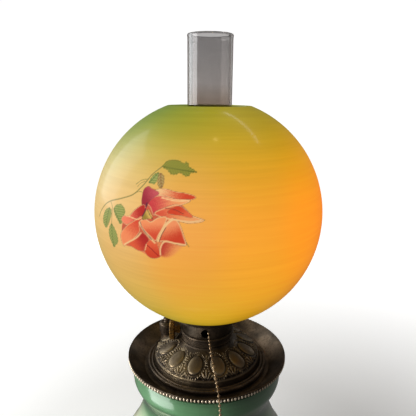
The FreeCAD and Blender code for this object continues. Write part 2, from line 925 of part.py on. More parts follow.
def switch_block():
    """The insulating body: rotor chamber, slot for the chain, seat for the contact."""
    low = holder_base + 4.5
    radius = holder_radius - 2 * holder_wall - 0.8
    step = low + 5.5
    stem = ring(0, radius - 3, low, step)
    block = stem.fuse(ring(0, radius, step, contact_base)).removeSplitter()
    chamber = Part.makeCylinder(rotor_radius + 0.6, 14, V(0, 0, holder_base + 11))
    slot = Part.makeBox(chain_diameter + 2, radius, 11,
                        V(-chain_diameter / 2 - 1, -radius - 1, holder_base + 15))
    return block.cut(chamber).cut(slot)


def switch_rotor():
    """The four-lobed contact drum that each pull turns."""
    low = holder_base + 12
    drum = Part.makeCylinder(rotor_radius, 9, V(0, 0, low))
    flat = Part.makeCylinder(1.8, 9, V(rotor_radius + 0.5, 0, low))
    return drum.cut(Part.makeCompound(around(flat, 4, 45)))


def screw_shell():
    """The threaded contact sleeve, as a smooth tube with a turned-in foot."""
    bore = screw_shell_radius - screw_shell_wall
    return turned(
        (8, contact_base), (screw_shell_radius, contact_base),
        (screw_shell_radius, holder_top - 2), (bore, holder_top - 2),
        (bore, contact_base + 0.6), (8, contact_base + 0.6),
    )


def centre_contact():
    low = contact_base
    return turned((0, low), (4, low), (4, low + 0.8), (2.6, low + 2.0), (1.2, low + 2.4), (0, low + 2.4))


# ---- bulb ----------------------------------------------------------------------------------------
def bulb_base():
    """The bulb's metal screw cap, with its contact button."""
    low = bulb_foot
    return turned(
        (0, low), (2.5, low), (3.5, low + 1.6), (bulb_cap_radius - 2.5, low + 4.5),
        (bulb_cap_radius, low + 6), (bulb_cap_radius, low + 24),
        (bulb_cap_radius - 1.0, low + 24), (bulb_cap_radius - 1.0, low + 7), (0, low + 7),
    )


def bulb_glass():
    """A tubular frosted envelope, closed at the top."""
    low = bulb_foot + 24
    top = bulb_foot + bulb_length
    neck = bulb_cap_radius - 1.0
    cheek = top - bulb_radius
    bend = math.sqrt(0.5)
    inner = bulb_radius - bulb_wall
    return turned(
        (0, low - 8), (neck, low - 8), (neck, low + 2),
        (bulb_radius, low + 14), (bulb_radius, cheek),
        (bulb_radius * bend, cheek + bulb_radius * bend, 0, top),
        (0, top - bulb_wall),
        (inner * bend, cheek + inner * bend, inner, cheek),
        (inner, low + 14.4), (neck - bulb_wall, low + 2.4),
        (neck - bulb_wall, low - 7), (0, low - 7),
    )


def filament_mount():
    """A stem with two support wires and a straight light strip between them."""
    low = bulb_foot + 17
    stem = turned((0, low), (6, low), (2.6, low + 8), (2.2, low + 26), (0, low + 27))
    strips = []
    for side in (-1, 1):
        strips.append(Part.makeCylinder(0.5, 40, V(1.6 * side, 0, low + 20)))
        strips.append(Part.makeBox(1.6, 1.2, 34, V(4.2 * side - 0.8, -0.6, low + 27)))
    bars = [Part.makeBox(10, 1.2, 1.2, V(-5, -0.6, low + 27))]
    bars.append(Part.makeBox(10, 1.2, 1.2, V(-5, -0.6, low + 59.8)))
    return joined([stem] + strips + bars)


# ---- chimney and shade ------------------------------------------------------------------------------
def chimney():
    """A heat-proof glass tube: wide fitter, drawn-in shoulder, straight stack, thick lip."""
    foot = chimney_foot
    head = chimney_head
    fitter = chimney_fitter_radius
    bore = chimney_radius - chimney_wall
    step = fitter - chimney_radius
    return turned(
        (fitter - chimney_wall, foot), (fitter, foot), (fitter, foot + 18),
        (fitter - 0.18 * step, foot + 24, chimney_radius + 0.5 * step, foot + 30),
        (chimney_radius + 0.12 * step, foot + 37, chimney_radius, foot + 52),
        (chimney_radius, head - 3),
        (chimney_radius + 0.5, head - 1.4, chimney_radius - 1, head),
        (bore, head - 1),
        (bore, foot + 52),
        (bore + 0.12 * step, foot + 37, bore + 0.5 * step, foot + 29),
        (fitter - chimney_wall - 0.18 * step, foot + 23, fitter - chimney_wall, foot + 17),
    )


def ball_shade():
    """A glass ball open above and below, its edges cut square to the wall."""
    inner = shade_radius - shade_wall
    top = math.asin(shade_top_opening / shade_radius)
    low = math.pi - math.asin(shade_fitter_radius / shade_radius)

    def on_ball(radius, angle):
        return radius * math.sin(angle), shade_centre + radius * math.cos(angle)
    side = (top + low) / 2
    return turned(
        on_ball(shade_radius, low),
        on_ball(shade_radius, side) + on_ball(shade_radius, top),
        on_ball(inner, top),
        on_ball(inner, side) + on_ball(inner, low),
    )


# ---- pull chain -----------------------------------------------------------------------------------
def chain_path():
    """The route's runs joined by tangent arcs, and the arcs' radii."""
    points = [V(*p) for p in chain_route]
    edges = []
    radii = []
    here = points[0]
    for before, corner, after in zip(points, points[1:], points[2:]):
        into = (corner - before).normalize()
        out = (after - corner).normalize()
        turn = into.getAngle(out)
        setback = 0.45 * min((corner - before).Length, (after - corner).Length)
        radius = setback / math.tan(turn / 2)
        start = corner - into * setback
        end = corner + out * setback
        inwards = (out - into).normalize()
        middle = corner + inwards * (radius / math.cos(turn / 2) - radius)
        edges.append(Part.LineSegment(here, start).toShape())
        edges.append(Part.Arc(start, middle, end).toShape())
        radii.append(round(radius, 1))
        here = end
    edges.append(Part.LineSegment(here, points[-1]).toShape())
    return Part.Wire(edges), radii


def pull_chain():
    """The bead chain as a plain tube of the beads' diameter."""
    path, radii = chain_path()
    start = V(*chain_route[0])
    circle = Part.Wire(Part.makeCircle(chain_diameter / 2, start, chain_direction()))
    tube = path.makePipeShell([circle], True, False)
    plain = math.pi * (chain_diameter / 2) ** 2 * path.Length
    print("chain radii", radii, "length", round(path.Length, 1))
    print("chain volume ratio", round(tube.Volume / plain, 4))
    return tube


def chain_bell():
    """The turned pull at the chain's end, in line with its last run."""
    end = V(*chain_route[-1])
    way = (end - V(*chain_route[-2])).normalize()
    bell = turned(
        (0, 0), (1.9, 0), (2.2, 1.6), (1.9, 3.0),
        (3.2, 5.4, bell_radius - 0.6, bell_length - 4),
        (bell_radius, bell_length - 2.4, bell_radius - 0.4, bell_length - 1),
        (bell_radius - 1.4, bell_length), (0, bell_length),
    )
    bell.rotate(CENTRE, UP.cross(way), math.degrees(UP.getAngle(way)))
    bell.translate(end)
    return bell


def main():
    os.makedirs("parts", exist_ok=True)
    lower_nut = foot_top_z - foot_top_thickness - nut_height
    save("foot_casting", foot_casting())
    save("foot_pads", foot_pads())
    save("vase_cup", vase_cup())
    save("vase_gasket", vase_gasket())
    save("vase", vase())
    save("inner_gasket", inner_gasket())
    save("clamp_washer", clamp_washer())
    save("clamp_nut_lower", clamp_nut(lower_nut))
    save("clamp_nut_upper", clamp_nut(clamp_levels()[2]))
    save("clamp_tube", clamp_tube())
    save("lead_bushing", lead_bushing())
    save("cement_ring", cement_ring())
    save("bowl", bowl())
    save("bead_border", bead_border())
    save("font_tank", font_tank())
    save("font_ring", font_ring())
    save("font_top", font_top())
    save("font_collar", font_collar())
    save("draft_tube", draft_tube())
    save("filler_tube", filler_tube())
    save("filler_cap", filler_cap())
    save("cap_gasket", cap_gasket())
    save("burner_base", burner_base())
    save("burner_drum", burner_drum())
    save("shade_ring", shade_ring())
    save("gallery", gallery())
    save("gallery_screws", gallery_screws())
    save("wick_tube", wick_tube())
    save("wick", wick())
    save("wick_carrier", wick_carrier())
    save("raiser_gear", raiser_gear())
    save("raiser_spindle", raiser_spindle())
    save("spindle_gland", spindle_gland())
    save("raiser_knob", raiser_knob())
    save("knob_screw", knob_screw())
    save("nipple_plug", nipple_plug())
    save("plug_nut", plug_nut())
    save("lamp_nipple", lamp_nipple())
    save("socket_cap", socket_cap())
    save("socket_shell", socket_shell())
    save("socket_liner", socket_liner())
    save("switch_block", switch_block())
    save("switch_rotor", switch_rotor())
    save("screw_shell", screw_shell())
    save("centre_contact", centre_contact())
    save("bulb_base", bulb_base())
    save("bulb_glass", bulb_glass())
    save("filament_mount", filament_mount())
    save("chimney", chimney())
    save("ball_shade", ball_shade())
    save("pull_chain", pull_chain())
    save("chain_bell", chain_bell())


main()
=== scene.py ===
import json
import math

import bpy
import numpy as np
from mathutils import Matrix, Vector

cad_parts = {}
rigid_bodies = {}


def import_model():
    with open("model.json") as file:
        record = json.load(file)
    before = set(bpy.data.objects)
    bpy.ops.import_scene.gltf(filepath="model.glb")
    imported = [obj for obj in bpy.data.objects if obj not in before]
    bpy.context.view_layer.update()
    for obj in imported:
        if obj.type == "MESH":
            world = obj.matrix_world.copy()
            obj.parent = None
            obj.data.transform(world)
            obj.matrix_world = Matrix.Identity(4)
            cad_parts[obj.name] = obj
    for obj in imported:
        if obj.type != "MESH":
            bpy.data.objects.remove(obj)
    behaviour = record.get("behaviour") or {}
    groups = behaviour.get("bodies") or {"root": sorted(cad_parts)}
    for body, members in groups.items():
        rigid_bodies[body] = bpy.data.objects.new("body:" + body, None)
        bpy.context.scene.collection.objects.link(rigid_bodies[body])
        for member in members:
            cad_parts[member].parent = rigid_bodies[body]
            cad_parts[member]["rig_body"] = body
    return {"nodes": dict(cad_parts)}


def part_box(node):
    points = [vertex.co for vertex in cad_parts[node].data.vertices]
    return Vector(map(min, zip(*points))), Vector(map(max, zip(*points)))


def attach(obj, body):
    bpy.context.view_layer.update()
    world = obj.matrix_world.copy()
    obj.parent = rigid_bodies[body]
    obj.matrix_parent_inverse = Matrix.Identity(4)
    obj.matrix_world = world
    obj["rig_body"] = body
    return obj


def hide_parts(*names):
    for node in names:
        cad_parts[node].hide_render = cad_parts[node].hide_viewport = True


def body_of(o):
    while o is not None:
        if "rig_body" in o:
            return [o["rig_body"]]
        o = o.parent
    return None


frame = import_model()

bl_info = {
    "name": "Parlour Lamp",
    "version": (1, 0, 0),
    "blender": (4, 5, 0),
    "location": "3D View > Sidebar > Lamp",
    "description": "Builds the visible pieces and finishes of a ball-shade parlour lamp",
    "category": "Object",
}

NODES = frame["nodes"]
MM = 0.001

# Profiles are lists of (radius, height) in millimetres, from the floor up.
# Azimuth is 0 at the front (-Y) and grows towards +X; latitude is from the ball's equator.


# ---- shapes ---------------------------------------------------------------------------

def around_axis(radius, height, azimuth):
    """Points at radius and height turned by azimuth: x = r sin a, y = -r cos a, z = h."""
    radius, height, azimuth = np.broadcast_arrays(radius, height, azimuth)
    return np.stack([radius * np.sin(azimuth), -radius * np.cos(azimuth), height], -1)


def flowing(points, per_span=8, closed=False):
    """A Catmull-Rom curve through points, as one array.

    On each span p = 0.5 (2 b + (c - a) t + (2 a - 5 b + 4 c - d) t^2 + (3 b - a - 3 c + d) t^3).
    """
    p = np.asarray(points, float)
    if closed:
        p = np.concatenate([p[-1:], p, p[:2]])
    else:
        p = np.concatenate([2 * p[:1] - p[1:2], p, 2 * p[-1:] - p[-2:-1]])
    a, b, c, d = (p[k:len(p) - 3 + k, None] for k in range(4))
    t = (np.arange(per_span) / per_span)[None, :, None]
    curve = 0.5 * (2 * b + (c - a) * t + (2 * a - 5 * b + 4 * c - d) * t ** 2
                   + (3 * b - a - 3 * c + d) * t ** 3)
    curve = curve.reshape(-1, p.shape[1])
    return curve if closed else np.concatenate([curve, p[-2:-1]])


def grid_faces(rows, columns, wrap_rows=False, wrap_columns=True):
    """Quads of a rows x columns grid, facing out when rows go up and columns go round."""
    r = np.arange(rows if wrap_rows else rows - 1)[:, None]
    c = np.arange(columns if wrap_columns else columns - 1)[None, :]
    up, right = (r + 1) % rows, (c + 1) % columns
    quads = [r * columns + c, r * columns + right, up * columns + right, up * columns + c]
    return np.stack(np.broadcast_arrays(*quads), -1).reshape(-1, 4)


def make_piece(name, points, faces, finish, sharp=None, values=None, colours=None):
    """A smooth mesh object at the origin; edges over the sharp angle, if one is given, stay sharp."""
    mesh = bpy.data.meshes.new(name)
    corners = faces.tolist() if isinstance(faces, np.ndarray) else faces
    mesh.from_pydata(np.reshape(points, (-1, 3)).tolist(), [], corners)
    mesh.update()
    mesh.shade_smooth()
    if sharp:
        mesh.set_sharp_from_angle(angle=math.radians(sharp))
    for key, array in (values or {}).items():
        layer = mesh.attributes.new(key, "FLOAT", "POINT")
        layer.data.foreach_set("value", np.asarray(array, np.float32).ravel())
    for key, array in (colours or {}).items():
        layer = mesh.color_attributes.new(key, "FLOAT_COLOR", "POINT")
        rgba = np.ones((len(mesh.vertices), 4), np.float32)
        rgba[:, :3] = np.reshape(array, (-1, 3))
        layer.data.foreach_set("color", rgba.ravel())
    mesh.materials.append(finish)
    piece = bpy.data.objects.new(name, mesh)
    bpy.context.scene.collection.objects.link(piece)
    return piece


def in_mm(box):
    """A box's lowest and highest corners in millimetres."""
    return [np.array(corner) / MM for corner in box]


def unit(ways):
    return ways / np.linalg.norm(ways, axis=1, keepdims=True)


def running_length(line):
    """Distance from a line's start to each of its points."""
    return np.concatenate([[0], np.cumsum(np.linalg.norm(np.diff(line, axis=0), axis=1))])


def points_at(line, walk, distance):
    """Points on a line at the given distances, walk being its running length."""
    return np.stack([np.interp(distance, walk, column) for column in line.T], -1)


def lathe(name, loop, columns, finish, relief=None, sharp=40.0):
    """A closed profile loop in millimetres turned about the axis.

    relief, if given, is added along each point's own outward normal in the profile plane.
    """
    loop = np.asarray(loop, float)
    azimuth = np.linspace(0, 2 * np.pi, columns, endpoint=False)[None, :]
    r, z = loop[:, :1], loop[:, 1:]
    values = None
    if relief is not None:
        step = np.roll(loop, -1, 0) - np.roll(loop, 1, 0)
        step /= np.linalg.norm(step, axis=1, keepdims=True) + 1e-9
        raised = relief(np.degrees(azimuth), r, z)
        r = r + raised * step[:, 1:]
        z = z - raised * step[:, :1]
        values = {"relief": raised}
    points = around_axis(r, z, azimuth) * MM
    return make_piece(name, points, grid_faces(len(loop), columns, wrap_rows=True), finish,
                      sharp=sharp, values=values)


def copies(points, faces, moves):
    """One shape repeated: its points under each 3x4 placement, with the faces renumbered.

    A corner that a face names twice is dropped.
    """
    points, moves = np.asarray(points, float), np.asarray(moves, float)
    placed = np.einsum("kij,nj->kni", moves[:, :, :3], points) + moves[:, None, :, 3]
    shift = (np.arange(len(moves)) * len(points))[:, None, None]
    numbered = (faces[None] + shift).reshape(-1, 4).tolist()
    return placed.reshape(-1, 3), [list(dict.fromkeys(face)) for face in numbered]


def oval_ball(half_x, half_y, half_z, rings, sides):
    """A low ball: (x, y, z) = (hx sin p cos a, hy sin p sin a, hz cos p).

    Faces have four corners; those at the poles name one corner twice.
    """
    p = np.linspace(np.pi, 0, rings)[:, None]
    a = np.linspace(0, 2 * np.pi, sides, endpoint=False)[None, :]
    grid = np.stack(np.broadcast_arrays(
        half_x * np.sin(p) * np.cos(a), half_y * np.sin(p) * np.sin(a), half_z * np.cos(p)), -1)
    body = grid[1:-1].reshape(-1, 3)
    points = np.concatenate([body, grid[:1, 0], grid[-1:, 0]])
    k = np.arange(sides)
    n = (k + 1) % sides
    low, high = np.full(sides, len(body)), np.full(sides, len(body) + 1)
    last = (rings - 3) * sides
    caps = [np.stack([low, n, k, k], -1), np.stack([high, last + k, last + n, last + n], -1)]
    return points, np.concatenate([grid_faces(rings - 2, sides), *caps])


def smoothstep(low, high, value):
    t = np.clip((value - low) / (high - low), 0, 1)
    return t * t * (3 - 2 * t)


# ---- finishes -------------------------------------------------------------------------

def linear(colour):
    """Display red, green and blue (0 to 255) as scene-linear values."""
    c = np.asarray(colour, float) / 255
    return np.where(c <= 0.04045, c / 12.92, ((c + 0.055) / 1.055) ** 2.4)


class Finish:
    """One material: a Principled shader and the patterns that feed it."""

    def __init__(self, name, colour=(128, 128, 128), **constants):
        self.material = bpy.data.materials.new(name)
        self.material.use_nodes = True
        self.tree = self.material.node_tree
        self.shader = self.tree.nodes["Principled BSDF"]
        self.shader.inputs["Base Color"].default_value = (*linear(colour), 1)
        for key, value in constants.items():
            self.shader.inputs[key.replace("_", " ")].default_value = value
        self.coordinates = self.tree.nodes.new("ShaderNodeTexCoord").outputs["Object"]

    def node(self, kind, inputs=None, **settings):
        made = self.tree.nodes.new(kind)
        for key, value in settings.items():
            setattr(made, key, value)
        for key, value in (inputs or {}).items():
            if isinstance(value, bpy.types.NodeSocket):
                self.tree.links.new(value, made.inputs[key])
            else:
                made.inputs[key].default_value = value
        return made

    def noise(self, scale, detail=3.0, stretch=(1, 1, 1), distortion=0.0, roughness=0.5):
        mapped = self.node("ShaderNodeMapping", {"Vector": self.coordinates, "Scale": stretch})
        return self.node("ShaderNodeTexNoise", {
            "Vector": mapped.outputs[0], "Scale": scale, "Detail": detail,
            "Distortion": distortion, "Roughness": roughness}).outputs[0]

    def height(self):
        return self.node("ShaderNodeSeparateXYZ", {"Vector": self.coordinates}).outputs["Z"]

    def attribute(self, name, output="Fac"):
        return self.node("ShaderNodeAttribute", attribute_name=name).outputs[output]

    def ramp(self, factor, *stops):
        """Colours (display 0-255) at positions along factor."""
        made = self.node("ShaderNodeValToRGB", {"Fac": factor})
        line = made.color_ramp.elements
        while len(line) < len(stops):
            line.new(1.0)
        for element, (position, colour) in zip(line, stops):
            element.position = position
            element.color = (*linear(colour), 1)
        return made.outputs[0]

    def span(self, value, low, high, to_low, to_high):
        return self.node("ShaderNodeMapRange", {
            "Value": value, "From Min": low, "From Max": high,
            "To Min": to_low, "To Max": to_high}).outputs[0]

    def mix(self, factor, first, second, blend="MIX"):
        made = self.node("ShaderNodeMix", data_type="RGBA", blend_type=blend)
        for slot, value in ((0, factor), (6, first), (7, second)):
            if isinstance(value, bpy.types.NodeSocket):
                self.tree.links.new(value, made.inputs[slot])
            else:
                made.inputs[slot].default_value = (*linear(value), 1) if slot else value
        return made.outputs[2]

    def feed(self, **sockets):
        for key, value in sockets.items():
            self.tree.links.new(value, self.shader.inputs[key.replace("_", " ")])
        return self

    def bump(self, height, depth):
        made = self.node("ShaderNodeBump", {"Height": height, "Distance": depth, "Strength": 1.0})
        self.tree.links.new(made.outputs[0], self.shader.inputs["Normal"])
        return self


def brass(name, dark, middle, light, metal=0.9, rough=(0.34, 0.58), worn=False):
    """Old brass: brown patches at two scales, fine pits, and rubbed highs where worn is set."""
    made = Finish(name, middle, Metallic=metal)
    patches = made.noise(34, 5, distortion=0.6)
    colour = made.ramp(patches, (0.30, dark), (0.52, middle), (0.72, light))
    specks = made.noise(420, 4)
    colour = made.mix(made.span(specks, 0.52, 0.68, 0.0, 0.55), colour, dark)
    if worn:
        relief = made.attribute("relief")
        colour = made.mix(made.span(relief, 0.15, 0.6, 0.0, 0.55), colour, light)
        colour = made.mix(made.span(relief, 0.75, 1.6, 0.0, 0.7), colour, middle)
        colour = made.mix(made.span(relief, 0.1, -0.35, 0.0, 0.85), colour, [0.42 * c for c in dark])
    pits = made.noise(900, 4)
    made.feed(Base_Color=colour, Roughness=made.span(made.noise(75, 4), 0.3, 0.7, *rough))
    return made.bump(pits, 0.0001)


# Brasses: dark, middle and light tone, share of metal, roughness from and to.
BRASSES = {
    # The beads' brass is pale, near white: partly painted highlight, standing in for the light the beads
    # catch.
    "bead_brass": ((176, 154, 126), (232, 216, 192), (250, 242, 226), 0.6, (0.3, 0.42)),
    "knob_brass": ((84, 60, 34), (146, 110, 58), (190, 150, 88), 0.9, (0.3, 0.45)),
    "plain_brass": ((120, 88, 44), (182, 142, 76), (214, 178, 110), 0.9, (0.25, 0.4)),
    "chain_brass": ((74, 56, 40), (150, 124, 96), (214, 192, 160), 0.9, (0.26, 0.4)),
}
# Matt materials: colour, shader values, mottling noise, its dark and light, grain noise, grain depth.
MATT = {
    "felt": ((38, 66, 46), {"Roughness": 0.95, "Sheen_Weight": 0.6, "Sheen_Roughness": 0.5},
             (1400, 5), ((24, 44, 30), (58, 92, 66)), (2600, 5), 0.00035),
    "plaster": ((214, 206, 190), {"Roughness": 0.9},
                (180, 6), ((186, 176, 158), (226, 220, 206)), (500, 6), 0.0004),
    "fibre_card": ((120, 92, 62), {"Roughness": 0.8},
                   (260, 4, (1, 1, 0.2)), ((96, 72, 48), (142, 112, 80)), (800, 4), 0.0001),
}


def finishes():
    """Every finish by its slot name."""
    old = [c * 255 for c in bpy.context.scene.lamp_colours.old_brass]
    deep = [0.55 * c for c in old]
    rubbed = [1.8 * old[0], 1.85 * old[1], 1.75 * old[2]]
    made = {"aged_brass": brass("aged_brass", deep, old, [1.45 * c for c in old]),
            "worn_brass": brass("worn_brass", deep, old, rubbed, worn=True)}
    for name, values in BRASSES.items():
        made[name] = brass(name, *values)
    for name, (colour, values, mottle, (dark, light), grain, depth) in MATT.items():
        matt = Finish(name, colour, **values)
        matt.feed(Base_Color=matt.ramp(matt.noise(*mottle), (0.3, dark), (0.7, light)))
        made[name] = matt.bump(matt.noise(*grain), depth)
    steel = Finish("steel", (150, 150, 152), Metallic=1.0)
    steel.feed(Roughness=steel.span(steel.noise(300, 4), 0.3, 0.7, 0.28, 0.5))
    made["steel"] = steel.bump(steel.noise(700, 3, stretch=(1, 1, 12)), 0.00006)
    cork = Finish("cork", (176, 132, 88), Roughness=0.85)
    cells = cork.node("ShaderNodeTexVoronoi", {"Vector": cork.coordinates, "Scale": 420.0})
    cells = cells.outputs["Distance"]
    cork.feed(Base_Color=cork.ramp(cells, (0.05, (104, 70, 42)), (0.4, (178, 134, 90)),
                                   (0.8, (202, 164, 118))))
    made["cork"] = cork.bump(cells, 0.0003)
    plastic = Finish("black_plastic", (24, 22, 21), Roughness=0.35, Coat_Weight=0.3)
    plastic.feed(Roughness=plastic.span(plastic.noise(260, 3), 0.3, 0.7, 0.28, 0.5))
    made["black_plastic"] = plastic.bump(plastic.noise(1200, 3), 0.00005)
    cotton = Finish("cotton", (214, 202, 176), Roughness=0.95, Sheen_Weight=0.4)
    ribs = cotton.node("ShaderNodeTexWave",
                       {"Vector": cotton.coordinates, "Scale": 240.0, "Distortion": 2.0},
                       wave_type="BANDS", bands_direction="Z").outputs["Fac"]
    clean = cotton.ramp(ribs, (0.2, (186, 172, 144)), (0.8, (222, 212, 190)))
    scorched = cotton.span(cotton.height(), 0.28, 0.2875, 0.0, 0.85)
    cotton.feed(Base_Color=cotton.mix(scorched, clean, (44, 34, 26)))
    made["cotton"] = cotton.bump(ribs, 0.0004)
    frosted = Finish("frosted_glass", (250, 244, 226), Roughness=0.4, Transmission_Weight=0.6,
                     Emission_Color=(1.0, 0.78, 0.5, 1), Emission_Strength=0.8)
    made["frosted_glass"] = frosted.bump(frosted.noise(1500, 3), 0.00003)
    glow = Finish("filament", (255, 226, 170), Roughness=0.5, Emission_Color=(1.0, 0.72, 0.4, 1),
                  Emission_Strength=4.0)
    made["filament"] = glow.bump(glow.noise(900, 2), 0.00005)
    return {key: value.material for key, value in made.items()}


FINISHES = {}


def finish(name):
    """The named finish, made once for the whole lamp."""
    if not FINISHES:
        FINISHES.update(finishes())
    return FINISHES[name]


def painted_ball_finish():
    """Fired paint on opal glass, lit from within, with faint level brush lines and a gloss coat."""
    made = Finish("painted_ball", (230, 175, 80), Roughness=0.45, Specular_IOR_Level=0.15,
                  Coat_Weight=0.2, Coat_Roughness=0.12, Coat_IOR=1.5, Emission_Strength=0.76)
    # The "paint" colour holds the ball's paint, with painted glow towards the right and painted shade inside
    # by the top opening.
    paint = made.attribute("paint", "Color")
    lines = made.noise(9, 5, stretch=(0.9, 0.9, 34), roughness=0.62)
    strokes = made.mix(made.span(lines, 0.35, 0.65, 0.0, 0.10), paint, (150, 120, 40), "MULTIPLY")
    body = made.mix(0.56, strokes, (20, 12, 0))
    return made.feed(Base_Color=body, Emission_Color=strokes).material


def painted_vase_finish():
    """Green over opal glass: deep at the mouth, cream under the waist, green again at the foot, with painted
    shade darkening the green in the crease under the shoulder.
    """
    colours = bpy.context.scene.lamp_colours
    green = [c * 255 for c in colours.vase_green]
    cream = [c * 255 for c in colours.vase_cream]
    made = Finish("painted_vase", green, Roughness=0.3, Specular_IOR_Level=0.4, Coat_Weight=1.0,
                  Coat_Roughness=0.09)
    cloud = made.span(made.noise(13, 4), 0.3, 0.7, -0.006, 0.006)
    level = made.node("ShaderNodeMath", {0: made.height(), 1: cloud}, operation="ADD").outputs[0]
    share = made.span(level, 0.061, 0.255, 0.0, 1.0)
    pale = [0.5 * g + 0.5 * c for g, c in zip(green, cream)]
    # Share of the height, how far the paint is darkened, paint. The darker greens from 0.745 to 0.82 are
    # painted shade in the crease under the shoulder roll, down to the waist.
    bands = ((0.0, 0.72, green), (0.16, 0.9, green), (0.34, 1, pale), (0.52, 1, cream), (0.66, 1, pale),
             (0.745, 0.85, green), (0.82, 0.62, green), (0.90, 1, green), (1.0, 0.86, green))
    tone = made.ramp(share, *((at, [depth * c for c in paint]) for at, depth, paint in bands))
    strokes = made.noise(9, 5, stretch=(1, 1, 30), roughness=0.6)
    tone = made.mix(made.span(strokes, 0.35, 0.65, 0.0, 0.12), tone, (60, 90, 50), "MULTIPLY")
    return made.feed(Base_Color=tone).material


def chimney_finish():
    """Clear glass tinted grey as painted shade, standing in for the dim room seen through it; darker and
    warmer just above the ball, faint soot towards the top, and painted dark reflections along the edges.
    """
    made = Finish("chimney_glass", (206, 206, 208), Roughness=0.02, Transmission_Weight=1.0, IOR=1.47)
    smoke = made.noise(18, 4, stretch=(1, 1, 0.25))
    tint = made.ramp(made.span(made.height(), 0.56, 0.625, 0.0, 1.0), (0.0, (172, 160, 150)),
                     (0.35, (184, 180, 178)), (1.0, (174, 172, 172)))
    tint = made.mix(made.span(smoke, 0.4, 0.7, 0.0, 0.35), tint, (160, 152, 146))
    # Painted reflection: the glass turns dark brown where it is seen edge-on, standing in for the dark room it
    # reflects there.
    edge = made.node("ShaderNodeLayerWeight", {"Blend": 0.5}).outputs["Facing"]
    tint = made.mix(made.span(edge, 0.5, 0.82, 0.0, 1.0), tint, (74, 62, 56))
    made.feed(Base_Color=tint, Roughness=made.span(smoke, 0.35, 0.7, 0.015, 0.05))
    return made.material


# ---- painted ball ----------------------------------------------------------------------

# Ground colours of the ball: (azimuth, latitude, display red, green, blue). They hold the paint's own green,
# yellow and orange bands, with painted glow on top: towards the right (+X) the orange is made deeper and
# brighter, over 255 in places, standing in for light coming through the glass.
GROUND_AND_PAINTED_GLOW = (
    (-65, 62, 98, 126, 52), (-25, 62, 124, 138, 40), (10, 62, 162, 148, 34), (50, 62, 152, 140, 28),
    (-62, 47, 136, 150, 70), (-25, 48, 170, 156, 50), (15, 48, 198, 164, 36), (55, 46, 204, 162, 22),
    (-68, 28, 206, 190, 132), (-40, 30, 218, 186, 118), (-8, 30, 222, 168, 74), (22, 30, 236, 170, 42),
    (60, 30, 262, 172, 24), (-72, 8, 226, 190, 122), (-42, 8, 232, 188, 126), (-10, 10, 250, 172, 86),
    (20, 10, 270, 178, 58), (48, 10, 292, 174, 40), (76, 10, 290, 156, 18), (-72, -14, 214, 180, 108),
    (-42, -14, 228, 180, 102), (-10, -14, 250, 174, 70), (22, -14, 270, 184, 52), (50, -14, 288, 176, 36),
    (76, -12, 266, 142, 6), (-66, -34, 200, 168, 88), (-35, -34, 230, 190, 80), (0, -34, 250, 192, 58),
    (32, -34, 258, 184, 36), (62, -34, 218, 130, 10), (-45, -52, 200, 178, 56), (0, -52, 244, 198, 40),
    (42, -52, 198, 142, 18), (-30, -66, 140, 136, 24), (30, -66, 116, 104, 10),
    (125, 60, 152, 158, 50), (-135, 60, 140, 160, 62), (180, 60, 150, 162, 56), (130, 28, 224, 166, 60),
    (-130, 28, 214, 180, 100), (180, 28, 218, 176, 78), (130, 0, 240, 160, 58), (-130, 0, 230, 180, 104),
    (180, 0, 236, 172, 82), (130, -30, 228, 156, 50), (-130, -30, 214, 172, 84), (180, -30, 224, 168, 66),
    (120, -62, 160, 142, 38), (-120, -62, 156, 146, 46),
)

# The rose spray, back to front. Outlines are (azimuth, latitude) in degrees on the ball.
# Its bounds, inside which the ball has its finest mesh:
SPRAY_WEST, SPRAY_EAST, SPRAY_LOW, SPRAY_HIGH = -63, 3, -9, 38
STEMS = (
    (0.30, ((-23, 32), (-27, 28.4), (-29, 25.4), (-31, 22.8), (-35, 19), (-42, 16.3), (-49.3, 14), (-54, 11.4),
            (-58, 7.6), (-59.5, 5))),
    (0.17, ((-28.4, 26.3), (-32, 25.4), (-34.6, 23.4))),
    (0.14, ((-28.6, 25.6), (-31.6, 24.4), (-33.4, 22.6))),
    (0.22, ((-49.2, 13.8), (-47.3, 11.6), (-47, 8), (-46.7, 4.6))),
    (0.16, ((-34, 20), (-31.6, 20.6), (-29.6, 20.4))),
    (0.18, ((-11.4, 8.6), (-10.2, 5.8), (-9.2, 3.4), (-7.6, 0.6))),
    (0.14, ((-6.6, 11.6), (-4, 11.9), (-1.4, 11.5))),
)
OLIVE = ((104, 114, 40), (150, 146, 62), (66, 78, 34))
SAGE = ((112, 132, 66), (158, 162, 92), (70, 92, 48))
